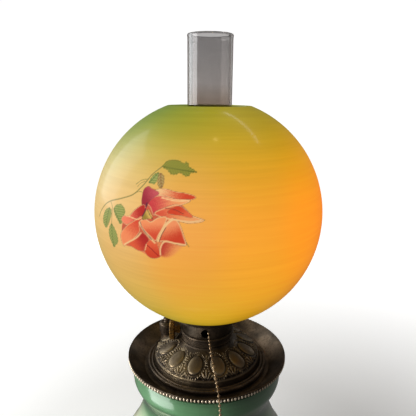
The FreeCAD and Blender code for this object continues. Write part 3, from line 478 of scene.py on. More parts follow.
# (outline, midrib from, midrib to, (body, light, dark), serration)
LEAVES = (
    (((-23.2, 32.2), (-21.4, 34.7), (-18.4, 35.6), (-14.7, 35.4), (-12.4, 34.4), (-11.2, 35), (-9.9, 34.4),
      (-9, 32.8), (-7, 31.9), (-5.2, 30.3), (-8, 29.8), (-9.2, 28.4), (-11, 28.5), (-13.3, 29.6), (-15, 28.9),
      (-17.7, 28.9), (-19.9, 30.6), (-21.8, 31.2)), (-23.2, 32.2), (-5.8, 30.5), OLIVE, 0.30),
    (((-28, 25), (-26.5, 28.3), (-24.3, 29.6), (-23.4, 28.6), (-23.6, 26), (-24.6, 24.4), (-26.4, 24.4)),
     (-27.6, 24.8), (-24.2, 29), SAGE, 0.18),
    (((-23.8, 29), (-22.2, 29.2), (-20.4, 27.8), (-20, 25.2), (-20.7, 22.9), (-22.4, 23.3), (-23.6, 25.2)),
     (-22.8, 29), (-21, 23.4), ((138, 118, 62), (176, 150, 96), (120, 66, 50)), 0.18),
    (((-46.2, 11), (-44.5, 13.2), (-41.2, 14.1), (-38.4, 12.5), (-37.9, 10.4), (-39, 8.8), (-38.8, 6.9),
      (-40.6, 5.4), (-43, 7.3), (-45, 9.1)), (-46, 11.4), (-40.2, 6), SAGE, 0.22),
    (((-50, 11), (-47.7, 10.3), (-47.4, 7.6), (-48.8, 4.4), (-51.4, 1.3), (-54.4, 2.7), (-55, 5.8),
      (-53.2, 9.2)), (-49.6, 10.8), (-52, 2), SAGE, 0.25),
    (((-47, 4.6), (-44.2, 3), (-42.5, 0.6), (-42, -2.6), (-44, -4.7), (-46, -6.4), (-47.4, -4.3),
      (-49, -2), (-49.3, 1.2)), (-46.8, 4.4), (-45.8, -6), SAGE, 0.25),
)
CREAM = (240, 196, 138)
RED = (206, 66, 42)
DEEP = (176, 42, 40)
CRIMSON = (148, 40, 56)
# (outline, root, tip, root colour, tip colour, rim width, softness)
PETALS = (
    (((-29, 21.5), (-24, 22), (-16, 19.4), (-9.5, 15.5), (-8, 12), (-12.4, 9.6), (-9.6, 2), (-13, 0.2),
      (-19, -3.8), (-24, -5.2), (-32, -2.6), (-38, -2), (-38.6, 6.8), (-33, 11), (-28.6, 15)), (-26, 12),
     (-14, -4), (188, 60, 52), (236, 140, 92), 0.0, 0.3),
    (((-24.5, 21.4), (-19.5, 22.7), (-14.5, 21.9), (-9.5, 21.4), (-5.6, 20.2), (-10.5, 18.9), (-16, 19),
      (-21, 19.7)), (-8, 20.2), (-24, 21.6), RED, CREAM, 0.35, 0.25),
    (((-26.6, 16.8), (-24, 19), (-20, 19.9), (-13.3, 18.9), (-7.8, 19), (-11.2, 17.3), (-16, 16),
      (-20.5, 13.5), (-22.8, 12.2), (-24.7, 15)), (-26, 15.2), (-12, 18.6), (196, 58, 66), (242, 160, 104),
     0.5, 0.25),
    (((-22.4, 13), (-17, 15.6), (-13, 16.8), (-9.3, 15.2), (-6.7, 12.9), (-2, 11.3), (-7.4, 10.3),
      (-11, 10.7), (-15.7, 11.3), (-19.7, 11.8)), (-22, 12.2), (-9, 13), (214, 82, 60), (240, 160, 100),
     0.6, 0.25),
    (((-16.6, 13.9), (-12.6, 16.3), (-9.4, 14.9), (-6.6, 12.6), (-10.8, 13.1), (-13.6, 13.3)), (-12, 15.6),
     (-8, 12.8), RED, (226, 104, 66), 0.15, 0.3),
    (((-29.5, 18.4), (-29.3, 21.6), (-27.5, 23), (-25.5, 22.1), (-22, 21), (-24, 19.3), (-26, 17.3),
      (-27.3, 14.6), (-29, 15.8)), (-28.6, 17), (-23, 21), CRIMSON, (190, 78, 86), 0.12, 0.25),
    (((-28.4, 15.4), (-27.3, 13), (-29.6, 9.9), (-33.3, 7.2), (-36.8, 6.3), (-39.6, 7.5), (-38.6, 9.2),
      (-35.2, 9.8), (-32.4, 12.8)), (-28.4, 12.8), (-36, 7.8), DEEP, (236, 128, 96), 0.4, 0.25),
    (((-28.6, 10.6), (-29.8, 7), (-29.6, 4.4), (-33.3, 0.3), (-36.8, -1.9), (-38.6, -3.2), (-39.9, 1.2),
      (-36, 5.7), (-32, 8.4)), (-29, 9), (-36, 0), (212, 74, 52), (240, 140, 92), 0.45, 0.25),
    (((-35, -1.5), (-31, 1.4), (-28.5, 3.8), (-26, 2.8), (-25, 0.9), (-26.3, -2.5), (-29.6, -3.6),
      (-32.5, -2.9)), (-27, 2), (-33, -2.4), DEEP, (222, 92, 60), 0.2, 0.3),
    (((-19.7, -3.7), (-19.2, -0.4), (-17.4, 1.8), (-13.3, 1.4), (-10.6, 0.8), (-12.3, -1.5), (-14.8, -3.7),
      (-17.6, -4.5)), (-19, 0), (-12.6, -2.4), DEEP, (236, 150, 90), 0.0, 1.0),
    (((-26.8, -3.2), (-25.7, -0.3), (-23.6, 1.7), (-21.6, 1.1), (-20.2, -2.4), (-19.6, -4.3), (-22, -5.7),
      (-24.9, -5.6)), (-23, 1), (-22.6, -5), (226, 96, 62), RED, 0.25, 0.25),
    (((-29.7, 8.2), (-26.8, 9.8), (-24, 9), (-20.8, 11), (-17.2, 11.5), (-18.6, 7.5), (-20.5, 4.3),
      (-21.7, 1.8), (-24, 3.4), (-27.5, 5.9)), (-23.6, 9), (-22.6, 3.4), (240, 146, 96), (216, 78, 54),
     0.6, 0.25),
    (((-14, 11.1), (-16.8, 8.8), (-18.9, 5.5), (-20.5, 2), (-17, 2.2), (-13.3, 1.6), (-9, 1.2), (-9.8, 4.7),
      (-11.2, 8.5), (-12.8, 10.8)), (-13.4, 3), (-16.2, 8.6), RED, (240, 148, 98), 0.75, 0.25),
    (((-28, 9.9), (-27.4, 11.6), (-26, 13.6), (-25, 12.8), (-23.8, 10.9), (-25.8, 10.5)), (-27, 10.4),
     (-24.6, 12), (150, 128, 54), (222, 184, 96), 0.1, 0.2),
)


# Folded edges and fine lines drawn over the petals: (width, colour, points).
FOLDS = (
    (0.50, CREAM, ((-29.6, 8), (-27.5, 5.5), (-24.5, 2.8), (-22, 0.8))),
    (0.65, CREAM, ((-20.6, 1.8), (-19.4, 5), (-17.3, 8.8), (-14.6, 11.2))),
    (0.42, CREAM, ((-19.6, -4), (-19.3, -0.6), (-17.4, 1.9), (-13.3, 1.6), (-9, 1.3))),
    (0.45, CREAM, ((-38, -2.8), (-35, -1), (-31, 1.5), (-28.6, 3.9))),
    (0.38, CREAM, ((-17, 11.2), (-11.5, 10.9), (-7.4, 10.6), (-3, 11.3))),
    (0.32, CREAM, ((-20, 19.3), (-14, 18.5), (-8.3, 18.8))),
    (0.30, CREAM, ((-35.5, 9.8), (-31, 9.2), (-28.8, 10.2))),
    (0.22, CREAM, ((-25.9, -0.4), (-26.6, -3))),
    (0.26, (150, 30, 34), ((-25.5, -0.8), (-23.2, -2.4), (-20.6, -4.6))),
    (0.28, (78, 44, 62), ((-26.8, 16.6), (-27.2, 13.4), (-28.3, 11))),
    (0.20, (86, 54, 50), ((-26, 13.6), (-24.8, 12), (-23.4, 10.4))),
    (0.20, (108, 92, 90), ((-29.2, 8.6), (-28.2, 6.4), (-26.2, 4.3), (-23.4, 2))),
    (0.18, (104, 70, 58), ((-19.9, 1.6), (-18.9, 4.4), (-17.2, 7.6))),
    (0.16, (120, 60, 50), ((-18, 15.2), (-14, 15), (-10.2, 13.6))),
)


def flat_place(points):
    """Degrees of azimuth and latitude as near-true degrees on the ball about the spray."""
    p = np.asarray(points, float)
    return np.stack([p[..., 0] * math.cos(math.radians(12)), p[..., 1]], -1)


def run_distance(places, start, end):
    """Least distance to the straight run from start to end."""
    way, rel = end - start, places - start
    t = np.clip((rel @ way) / (way @ way), 0, 1)[:, None]
    return np.linalg.norm(rel - t * way, axis=1)


def line_distance(places, points):
    """Least distance to an open run of straight pieces."""
    return np.minimum.reduce([run_distance(places, a, b) for a, b in zip(points[:-1], points[1:])])


def outline_distance(places, outline):
    """Distance to a closed outline, negative inside.

    The sign comes from counting the outline's crossings of the level line through each place.
    """
    inside = np.zeros(len(places), bool)
    for start, end in zip(outline, np.roll(outline, -1, 0)):
        way = end - start
        crosses = (start[1] > places[:, 1]) != (end[1] > places[:, 1])
        x = start[0] + (places[:, 1] - start[1]) * way[0] / (way[1] if way[1] else 1e-9)
        inside ^= crosses & (places[:, 0] < x)
    best = line_distance(places, np.concatenate([outline, outline[:1]]))
    return np.where(inside, -best, best)


def lay(colour, tone, amount):
    """Paint of one tone laid over colour by amount."""
    amount = amount[:, None]
    return colour * (1 - amount) + np.asarray(tone, float) * amount


def paint_spray(places, colour):
    """The rose spray laid over the ground colour at the given flat places."""
    x, y = places.T
    wobble = np.sin(x * 5.1 + y * 3.7) * np.sin(y * 6.3 - x * 1.9)
    for width, points in STEMS:
        d = line_distance(places, flowing(flat_place(points), 6))
        colour = lay(colour, (128, 120, 66), 0.85 * (1 - smoothstep(width * 0.5, width * 1.2, d)))
    for outline, root, tip, (body, light, dark), teeth in LEAVES:
        d = outline_distance(places, flowing(flat_place(outline), 4, closed=True))
        root, tip = flat_place(root), flat_place(tip)
        axis = (tip - root) / np.linalg.norm(tip - root)
        rel = places - root
        along, side = rel @ axis, rel @ np.array([-axis[1], axis[0]])
        d = d + teeth * 1.3 * np.abs(np.sin(along * 2.2))
        cover = 1 - smoothstep(-0.15, 0.15, d)
        veins = np.abs(np.sin((along - 0.9 * np.abs(side)) * 2.4))
        tone = np.asarray(body, float) + (np.asarray(light, float) - body) * (
            smoothstep(0.3, 1.0, veins) + 0.3 * wobble)[:, None]
        tone = lay(tone, dark, 0.75 * (1 - smoothstep(0.05, 0.28, np.abs(side))))
        tone = lay(tone, dark, 0.5 * smoothstep(-0.45, 0.0, d))
        colour = lay(colour, tone, cover * 0.94)
    for outline, root, tip, inner, outer, rim, soft in PETALS:
        d = outline_distance(places, flowing(flat_place(outline), 5, closed=True)) - 0.42
        root, tip = flat_place(root), flat_place(tip)
        axis = tip - root
        rel = places - root
        t = (rel @ axis) / (axis @ axis)
        turn = np.arctan2(rel[:, 1], rel[:, 0])
        streaks = 0.5 + 0.5 * np.sin(turn * 34 + 2.2 * wobble)
        share = np.clip(t + 0.16 * (streaks - 0.5) + 0.06 * wobble, 0, 1)
        tone = np.asarray(inner, float) + (
            np.asarray(outer, float) - inner) * smoothstep(0, 1, share)[:, None]
        if rim:
            tone = lay(tone, CREAM, 0.85 * smoothstep(-rim * 1.25, -rim * 0.55, d))
            tone = lay(tone, (96, 58, 52), (0.62 + 0.3 * wobble) * smoothstep(-0.30, -0.05, d))
        cover = 1 - smoothstep(-soft, soft * 0.6, d)
        colour = lay(colour, tone, cover * (0.96 if rim else 0.75))
    for width, tone, points in FOLDS:
        d = line_distance(places, flowing(flat_place(points), 6))
        colour = lay(colour, tone, 0.9 * (1 - smoothstep(width * 0.45, width * 1.1, d)))
    return colour


def ball_colours(azimuth, latitude):
    """Display colours over the ball: a weighted mean of the ground colours, which carry painted glow towards
    the right, with the spray on it.

    Each ground colour weighs exp((cos(angle to it) - 1) / 0.04).
    """
    def direction(a, b):
        a, b = np.radians(a), np.radians(b)
        return np.stack([np.cos(b) * np.sin(a), -np.cos(b) * np.cos(a), np.sin(b)], -1)
    ground = np.array(GROUND_AND_PAINTED_GLOW, float)
    nearness = direction(azimuth, latitude) @ direction(ground[:, 0], ground[:, 1]).T
    weight = np.exp((nearness - 1) / 0.04)
    colour = weight @ ground[:, 2:] / weight.sum(1, keepdims=True)
    near = ((azimuth > SPRAY_WEST) & (azimuth < SPRAY_EAST)
            & (latitude > SPRAY_LOW) & (latitude < SPRAY_HIGH))
    colour[near] = paint_spray(flat_place(np.stack([azimuth[near], latitude[near]], -1)), colour[near])
    return colour


class LAMP_OT_ball_shade(bpy.types.Operator):
    """Blown opal ball with painted ground and a rose spray"""
    bl_idname = "lamp.ball_shade"
    bl_label = "Ball shade"

    def execute(self, context):
        low, high = in_mm(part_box("ball_shade"))
        sizes = context.scene.lamp_sizes
        radius, wall = (high[0] - low[0]) / 2, sizes.ball_wall / MM
        top_r, low_r = sizes.ball_top / MM, sizes.ball_fitter / MM
        centre = low[2] + math.sqrt(radius ** 2 - low_r ** 2)
        top_lat = math.degrees(math.acos(top_r / radius))
        low_lat = -math.degrees(math.acos(low_r / radius))
        latitude = np.unique(np.concatenate([
            np.linspace(low_lat, SPRAY_LOW, 30), np.linspace(SPRAY_LOW, SPRAY_HIGH, 150),
            np.linspace(SPRAY_HIGH, top_lat, 20)]))
        azimuth = np.concatenate([
            np.linspace(SPRAY_WEST, SPRAY_EAST, 200, endpoint=False),
            np.linspace(SPRAY_EAST, SPRAY_WEST + 360, 118, endpoint=False)])
        inside = np.linspace(top_lat, low_lat, 22)
        lat = np.concatenate([latitude, inside])
        # The rims are cut along rays from the ball's centre.
        ring = np.repeat([radius, radius - wall], [len(latitude), len(inside)])
        a, b = np.radians(azimuth)[None, :], np.radians(lat)[:, None]
        points = around_axis(ring[:, None] * np.cos(b), centre + ring[:, None] * np.sin(b), a) * MM
        outside = np.broadcast_to((ring == radius)[:, None], points.shape[:2]).ravel()
        flat_az = np.where(azimuth > 180, azimuth - 360, azimuth)
        az = np.broadcast_to(flat_az[None, :], points.shape[:2]).ravel()
        la = np.broadcast_to(lat[:, None], points.shape[:2]).ravel()
        # The bare glass inside is pale low down and painted dark towards the opening: painted shade on the
        # inner wall there, which also dims its glow.
        colour = lay(np.array([70, 64, 56]), (214, 198, 160), smoothstep(62, 30, la))
        colour[outside] = ball_colours(az[outside], la[outside])
        faces = grid_faces(len(lat), len(azimuth), wrap_rows=True)
        # The "paint" colours hold the paint, the painted glow towards the right and the painted shade inside
        # by the opening.
        piece = make_piece("painted_ball_shade", points, faces, painted_ball_finish(), sharp=50,
                           colours={"paint": linear(colour)})
        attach(piece, "shade")
        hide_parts("ball_shade")
        return {"FINISHED"}


# ---- glass -----------------------------------------------------------------------------

class LAMP_OT_chimney(bpy.types.Operator):
    """Glass chimney: wide fitter, drawn shoulder, straight stack and a thick fire-polished lip"""
    bl_idname = "lamp.chimney"
    bl_label = "Chimney"

    def execute(self, context):
        low, high = in_mm(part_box("chimney"))
        sizes = context.scene.lamp_sizes
        fitter, stack = (high[0] - low[0]) / 2, sizes.chimney_radius / MM
        wall = sizes.chimney_wall / MM
        foot, head = low[2], high[2]
        step = fitter - stack
        drawn = flowing([(fitter, foot + 0.6), (fitter, foot + 10), (fitter, foot + 18),
                         (fitter - 0.18 * step, foot + 24), (stack + 0.5 * step, foot + 30),
                         (stack + 0.12 * step, foot + 38), (stack, foot + 52)], 8)
        outer = np.concatenate([drawn, [(stack, z) for z in np.linspace(foot + 70, head - 6, 24)],
                                [(stack + 0.1, head - 3.4), (stack + 0.35, head - 2.4),
                                 (stack + 0.3, head - 1.2), (stack - 0.3, head - 0.35),
                                 (stack - 1.0, head), (stack - 1.7, head - 0.3),
                                 (stack - wall, head - 1.1)]])
        bore = drawn[::-1] - [wall, 0]
        inner = np.concatenate([[(stack - wall, z) for z in np.linspace(head - 6, foot + 70, 12)], bore,
                                [(fitter - wall + 0.3, foot + 0.1), (fitter - 0.5, foot + 0.02)]])
        piece = lathe("glass_chimney", np.concatenate([outer, inner]), 128, chimney_finish(), sharp=60)
        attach(piece, "chimney")
        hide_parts("chimney")
        return {"FINISHED"}


class LAMP_OT_vase(bpy.types.Operator):
    """Blown opal vase painted green and cream"""
    bl_idname = "lamp.vase"
    bl_label = "Vase"

    def execute(self, context):
        low, high = in_mm(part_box("vase"))
        sizes = context.scene.lamp_sizes
        bottom, top = low[2], high[2]
        span, body = top - bottom, (high[0] - low[0]) / 2
        waist, shoulder = sizes.vase_waist / MM, sizes.vase_shoulder / MM
        mouth, base, wall = sizes.vase_mouth / MM, sizes.vase_base / MM, sizes.vase_wall / MM
        side = [(base, bottom + 0.3), (body - 22, bottom + 0.085 * span), (body - 4.5, bottom + 0.19 * span),
                (body, bottom + 0.31 * span), (body - 4.5, bottom + 0.42 * span), (waist + 14.2, top - 95),
                (waist + 6.2, top - 77.5), (waist + 1.7, top - 64), (waist, top - 51),
                (waist + 1.4, top - 39.5), (waist + 5.0, top - 31.5), (shoulder - 1.8, top - 23.5),
                (shoulder, top - 17), (mouth + 0.5, top - 6), (mouth - 0.3, top - 0.5)]
        outer = flowing(side, 9)
        inner = flowing([(r - wall, z) for r, z in side[1:]], 5)[::-1]
        floor = [(base - 4, bottom + wall), (sizes.vase_hole / MM, bottom + wall),
                 (sizes.vase_hole / MM, bottom), (base - 1.5, bottom)]
        lip = [(mouth - 1.2, top), (mouth - wall + 0.8, top)]
        piece = lathe("painted_vase", np.concatenate([outer, lip, inner, floor]), 256,
                      painted_vase_finish(), sharp=50)
        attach(piece, "base")
        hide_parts("vase")
        return {"FINISHED"}


# ---- metalwork ---------------------------------------------------------------------------

def dome_relief(azimuth, radius, height):
    """Chased ornament of the font top, in millimetres of height.

    Twelve oval lobes, a pearled line round each, fans between them at the outer edge, leaf tips
    between their inner ends, a ring of small pearls at the neck and two plain rolls outside.
    """
    pitch = 30.0
    cell = (azimuth % pitch) - pitch / 2
    gap = ((azimuth + pitch / 2) % pitch) - pitch / 2
    u = np.radians(cell) * radius
    v = radius - 49.0
    width = 8.7 + 0.12 * v
    egg = np.sqrt((u / width) ** 2 + (v / 11.5) ** 2)
    lobe = 2.1 * np.sqrt(np.clip(1 - egg ** 2, 0, 1)) * smoothstep(1.0, 0.86, egg)
    angle = np.arctan2(v / 14.2, u / (width + 3.1))
    outer_egg = np.sqrt((u / (width + 3.1)) ** 2 + (v / 14.2) ** 2)
    off = (outer_egg - 1) * 11.5
    pearls = 1.35 * np.exp(-(off / 0.85) ** 2) * (0.12 + 0.88 * np.cos(angle * 15) ** 2)
    off = (outer_egg - 0.865) * 11.5
    wire = 0.5 * np.exp(-(off / 0.45) ** 2)
    p = np.radians(gap) * radius
    q = 64.2 - radius
    reach = np.hypot(p, q)
    fan_angle = np.arctan2(p, np.maximum(q, 1e-3))
    ribs = 0.5 + 0.5 * np.cos(fan_angle * 11)
    open_by = np.abs(fan_angle)
    fan = 1.05 * ribs * smoothstep(13.5 - 3.5 * open_by, 9.5 - 3.5 * open_by, reach)
    fan = fan * smoothstep(1.5, 3.5, reach) * smoothstep(1.25, 0.95, open_by)
    tip_q = radius - 39.5
    tip = 0.95 * np.clip(1 - np.abs(p) / (2.4 - 0.16 * tip_q), 0, 1) * smoothstep(-4.5, -2.5, tip_q)
    tip = tip * smoothstep(8.5, 4.5, tip_q)
    small = ((azimuth + 7.5) % 15.0) - 7.5
    s = np.radians(small) * radius
    bud = 0.7 * np.sqrt(np.clip(1 - (s / 2.4) ** 2 - ((radius - 36.6) / 2.2) ** 2, 0, 1))
    field = smoothstep(33.6, 34.6, radius) * smoothstep(63.2, 62.2, radius)
    stipple = 0.10 * np.sin(np.radians(azimuth) * 150) * np.sin(radius * 4.4)
    worked = np.maximum.reduce([lobe, pearls, wire, fan * (egg > 1), tip, bud])
    worked = worked + stipple * (egg > 1.02)
    border = (0.5 * np.exp(-((radius - 63.4) / 0.5) ** 2)
              - 0.25 * np.exp(-((radius - 62.2) / 0.5) ** 2))
    return (worked - 0.25) * field + border


class LAMP_OT_font_top(bpy.types.Operator):
    """Embossed top of the drop-in font"""
    bl_idname = "lamp.font_top"
    bl_label = "Embossed font top"

    def execute(self, context):
        low, high = in_mm(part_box("font_top"))
        sizes = context.scene.lamp_sizes
        foot_r, neck_r = (high[0] - low[0]) / 2, sizes.font_neck / MM
        foot_z, neck_z = low[2], high[2]
        shares = [(0.0, 0.0), (0.03, 0.15), (0.13, 0.38), (0.31, 0.52), (0.49, 0.62), (0.67, 0.72),
                  (0.82, 0.79), (0.93, 0.88), (1.0, 1.0)]
        line = flowing([(foot_r - (foot_r - neck_r) * a, foot_z + (neck_z - foot_z) * b)
                        for a, b in shares], 40)
        walk = running_length(line)
        outer = points_at(line, walk, np.linspace(0, walk[-1], 118))
        columns = 660
        azimuth = np.linspace(0, 2 * np.pi, columns, endpoint=False)[None, :]
        r, z = outer[:, :1], outer[:, 1:]
        raised = dome_relief(np.degrees(azimuth), r, z)
        raised[0] = raised[-1] = 0
        way = unit(np.gradient(outer, axis=0))
        thick = [0.8, 0.6]
        inner = outer[::-30] - thick
        inner[0] = (neck_r - thick[0], neck_z)
        inner = np.concatenate([inner, [(foot_r - thick[0], foot_z)]])
        rr = np.concatenate([r + raised * way[:, 1:], np.repeat(inner[:, :1], columns, 1)])
        zz = np.concatenate([z - raised * way[:, :1], np.repeat(inner[:, 1:], columns, 1)])
        raised = np.concatenate([raised, np.zeros((len(inner), columns))])
        faces = grid_faces(len(rr), columns, wrap_rows=True)
        piece = make_piece("embossed_font_top", around_axis(rr, zz, azimuth) * MM, faces,
                           finish("worn_brass"), sharp=70, values={"relief": raised})
        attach(piece, "font")
        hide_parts("font_top")
        return {"FINISHED"}


def foot_relief(azimuth, radius, height):
    """Cast ornament of the foot, in millimetres.

    Sixteen ribbed and veined leaves down the bell, pearls round its edge and round the neck.
    """
    cell = (azimuth % 22.5) - 11.25
    across = np.radians(cell) * radius
    down = np.clip((radius - 41.0) / 39.0, 0, 1)
    edge = 0.96 * np.sqrt(np.sin(np.pi * (0.10 + 0.82 * down)))
    leaf = 1.3 * smoothstep(1.0, 0.74, np.abs(cell) / 11.25 / edge)
    leaf = leaf * smoothstep(40.0, 43.0, radius) * smoothstep(81.5, 79.0, radius)
    veins = 0.24 * np.cos(radius * 1.15 - np.abs(across) * 1.5) + 0.55 * np.exp(-(across / 0.8) ** 2)
    leaf = leaf + veins * smoothstep(0.3, 1.2, leaf)
    pearls = 0.8 * np.exp(-((radius - 84.6) / 1.3) ** 2) * np.cos(np.radians(azimuth) * 44) ** 2
    neck = 0.6 * np.exp(-((height - 49.2) / 1.2) ** 2) * np.cos(np.radians(azimuth) * 20) ** 2
    underside = np.interp(radius, [30, 38, 66, 85, 89], [48, 32, 23.5, 19.5, 15.5])
    return np.maximum.reduce([leaf, pearls, neck * (radius < 41)]) * (height > underside)


class LAMP_OT_foot(bpy.types.Operator):
    """Cast foot: a bell with leaves on four scrolled bracket feet"""
    bl_idname = "lamp.foot"
    bl_label = "Foot"

    def execute(self, context):
        # A bracket is one scrolled section swept 20 degrees about the axis, its size times
        # sqrt(1 - 0.86 |a / 10|^7) at a degrees from its middle, so that the ends close in.
        outside = flowing([
            (89, 15.2), (90.6, 17.6), (90.0, 20.4), (88, 22), (84, 22.9), (80, 23.6), (70, 25.1), (60, 27.2),
            (52, 29.6), (44.5, 33.2), (38.5, 38.3), (34.9, 43.2), (34.4, 45), (36.5, 46.2), (39, 48.4),
            (39.4, 50.6), (38.3, 52.8), (38, 55), (38, 56.8)], 6)
        seat = [(37.6, 57), (5.3, 57), (4.95, 56.6), (4.95, 51.0), (30, 51.0)]
        inside = flowing([(30, 45), (32, 38), (38, 30), (50, 24.4), (66, 21.1), (85, 17.2)], 5)
        bell = np.concatenate([outside, seat, inside, [(85, 15)]])
        piece = lathe("cast_foot", bell, 528, finish("worn_brass"), relief=foot_relief, sharp=60)
        section = flowing([
            (74.5, 16.4), (79.6, 15.0), (83.4, 12), (82.6, 7.4), (80.2, 3.4), (81.2, 1.7), (87, 1.6),
            (93, 1.7), (95.6, 3.2), (97.2, 7.0), (96.8, 12.0), (94.2, 17.2), (89.4, 20.4), (80, 21.2),
            (75, 20.6)], 4, closed=True)
        pads = 1.6
        turn = np.linspace(-10, 10, 33)
        middle = np.array([87.0, 11.0])
        swell = np.sqrt(1 - 0.86 * np.abs(turn / 10) ** 7)[:, None, None]
        flute = 1 - 0.035 * np.cos(turn * 1.1)[:, None, None] ** 2 * (section[None, :, 1:] > 3)
        loops = middle + (section[None] - middle) * swell * flute
        lowest = np.maximum(loops[..., 1], pads)
        corners = np.array([45, 135, 225, 315.0])[:, None, None] + turn[None, :, None]
        points = around_axis(loops[None, ..., 0], lowest[None], np.radians(corners))
        rows, columns = len(turn), len(section)
        one = grid_faces(rows, columns)[:, ::-1].tolist()
        one += [list(range(columns)), [(rows - 1) * columns + k for k in range(columns)][::-1]]
        faces = [[k * rows * columns + corner for corner in face] for k in range(4) for face in one]
        brackets = make_piece("bracket_feet", points * MM, faces, finish("worn_brass"))
        for made in (piece, brackets):
            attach(made, "base")
        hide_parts("foot_casting")
        return {"FINISHED"}


class LAMP_OT_bead_border(bpy.types.Operator):
    """Row of upright oval beads under the bowl's rim"""
    bl_idname = "lamp.bead_border"
    bl_label = "Beaded border"

    def execute(self, context):
        low, high = in_mm(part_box("bead_border"))
        sizes = context.scene.lamp_sizes
        reach, middle, half = (high[0] - low[0]) / 2, (low[2] + high[2]) / 2, (high[2] - low[2]) / 2
        thick = sizes.bead_thickness / MM
        count = sizes.bead_count
        half_width, out = 1.28, thick * 0.92
        a = np.linspace(0, 2 * np.pi, count, endpoint=False)
        sin, cos, zero, one = np.sin(a), np.cos(a), np.zeros(count), np.ones(count)
        ring = reach - out
        moves = np.stack([
            np.stack([cos, -sin, zero, ring * sin], -1),
            np.stack([sin, cos, zero, -ring * cos], -1),
            np.stack([zero, zero, one, middle * one], -1)], 1)
        points, faces = copies(*oval_ball(half_width, out, half, 8, 10), moves)
        piece = make_piece("border_beads", points * MM, faces, finish("bead_brass"))
        back, front = reach - thick, reach - thick * 0.72
        strip = lathe("border_strip", [(back, middle - half), (front, middle - half * 0.94),
                                       (front, middle + half * 0.94), (back, middle + half)],
                      192, finish("aged_brass"))
        for made, slot in ((piece, "bead_brass"), (strip, "aged_brass")):
            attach(made, "base")
        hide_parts("bead_border")
        return {"FINISHED"}


# Where the chain's runs meet, from the switch over the bowl's rim to the bell, in metres.
CHAIN_ROUTE = (
    (-0.0004, -0.0115, 0.3130), (0.0026, -0.0375, 0.2969), (0.0080, -0.0670, 0.2809),
    (0.0133, -0.0986, 0.2704), (0.0148, -0.1044, 0.2520), (0.0152, -0.1040, 0.2290), (0.0150, -0.1028, 0.2130),
)


def route_points(route):
    """Points along one smooth spline that has the route as its control points."""
    curve = bpy.data.curves.new("chain_route", "CURVE")
    curve.dimensions = "3D"
    curve.resolution_u = 40
    spline = curve.splines.new("NURBS")
    spline.points.add(len(route) - 1)
    spline.points.foreach_set("co", [v for p in route for v in (*p, 1.0)])
    spline.order_u = 3
    spline.use_endpoint_u = True
    holder = bpy.data.objects.new("chain_route", curve)
    bpy.context.scene.collection.objects.link(holder)
    bpy.context.view_layer.update()
    line = bpy.data.meshes.new_from_object(holder)
    points = np.zeros(len(line.vertices) * 3)
    line.vertices.foreach_get("co", points)
    bpy.data.objects.remove(holder)
    bpy.data.curves.remove(curve)
    bpy.data.meshes.remove(line)
    return points.reshape(-1, 3)


class LAMP_OT_pull_chain(bpy.types.Operator):
    """Bead chain of the pull switch, hanging over the bowl's rim to its bell"""
    bl_idname = "lamp.pull_chain"
    bl_label = "Pull chain"

    def execute(self, context):
        sizes = context.scene.lamp_sizes
        line = route_points(CHAIN_ROUTE)
        walk = running_length(line)
        length = walk[-1]
        count = int(round(length / sizes.chain_pitch))
        bead, wire, sides = sizes.chain_bead / 2, sizes.chain_wire / 2, 6
        at = np.linspace(bead, length - bead, count)
        way = unit(points_at(line, walk, at + bead) - points_at(line, walk, at - bead))
        across = unit(np.cross(way, [1.0, 0.0, 0.0]))
        centre = points_at(line, walk, at)[:, :, None]
        moves = np.concatenate([np.stack([across, np.cross(way, across), way], -1), centre], 2)
        beads, faces = copies(*oval_ball(bead, bead, bead, 9, 12), moves)
        # The wire between the beads: a thin round section carried along the route.
        spine = points_at(line, walk, np.linspace(0, length, 4 * count))
        ahead = unit(np.gradient(spine, axis=0))
        side = unit(np.cross(ahead, [1.0, 0.0, 0.0]))
        lift = np.cross(ahead, side)
        turn = np.linspace(0, 2 * np.pi, sides, endpoint=False)[None, :, None]
        tube = spine[:, None] + wire * (np.cos(turn) * side[:, None] + np.sin(turn) * lift[:, None])
        first, last = len(beads), len(beads) + sides * (len(spine) - 1)
        faces += (grid_faces(len(spine), sides) + first).tolist()
        faces += [[first + k for k in range(sides)][::-1], [last + k for k in range(sides)]]
        piece = make_piece("pull_chain_beads", np.concatenate([beads, tube.reshape(-1, 3)]), faces,
                           finish("chain_brass"))
        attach(piece, "pull")
        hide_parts("pull_chain")
        return {"FINISHED"}


# Nodes that new meshes take the place of, and the finish of each other node.
REMADE = {"ball_shade", "chimney", "vase", "font_top", "foot_casting", "bead_border", "pull_chain"}
KEPT_FINISHES = {
    "aged_brass": ["vase_cup", "bowl", "font_ring", "font_tank", "burner_base", "burner_drum",
                   "shade_ring", "filler_tube", "font_collar", "socket_shell", "socket_cap", "clamp_washer",
                   "filler_cap"],
    "knob_brass": ["raiser_knob", "spindle_gland"],
    "plain_brass": ["gallery", "draft_tube", "wick_tube", "wick_carrier", "raiser_gear", "raiser_spindle",
                    "nipple_plug", "plug_nut", "lamp_nipple", "screw_shell", "bulb_base", "switch_rotor",
                    "centre_contact"],
    "chain_brass": ["chain_bell"],
    "steel": ["clamp_nut_lower", "clamp_nut_upper", "clamp_tube", "gallery_screws", "knob_screw"],
    "felt": ["foot_pads"],
    "cork": ["cap_gasket", "vase_gasket", "inner_gasket"],
    "plaster": ["cement_ring"],
    "fibre_card": ["socket_liner"],
    "black_plastic": ["switch_block", "lead_bushing"],
    "cotton": ["wick"],
    "frosted_glass": ["bulb_glass"],
    "filament": ["filament_mount"],
}


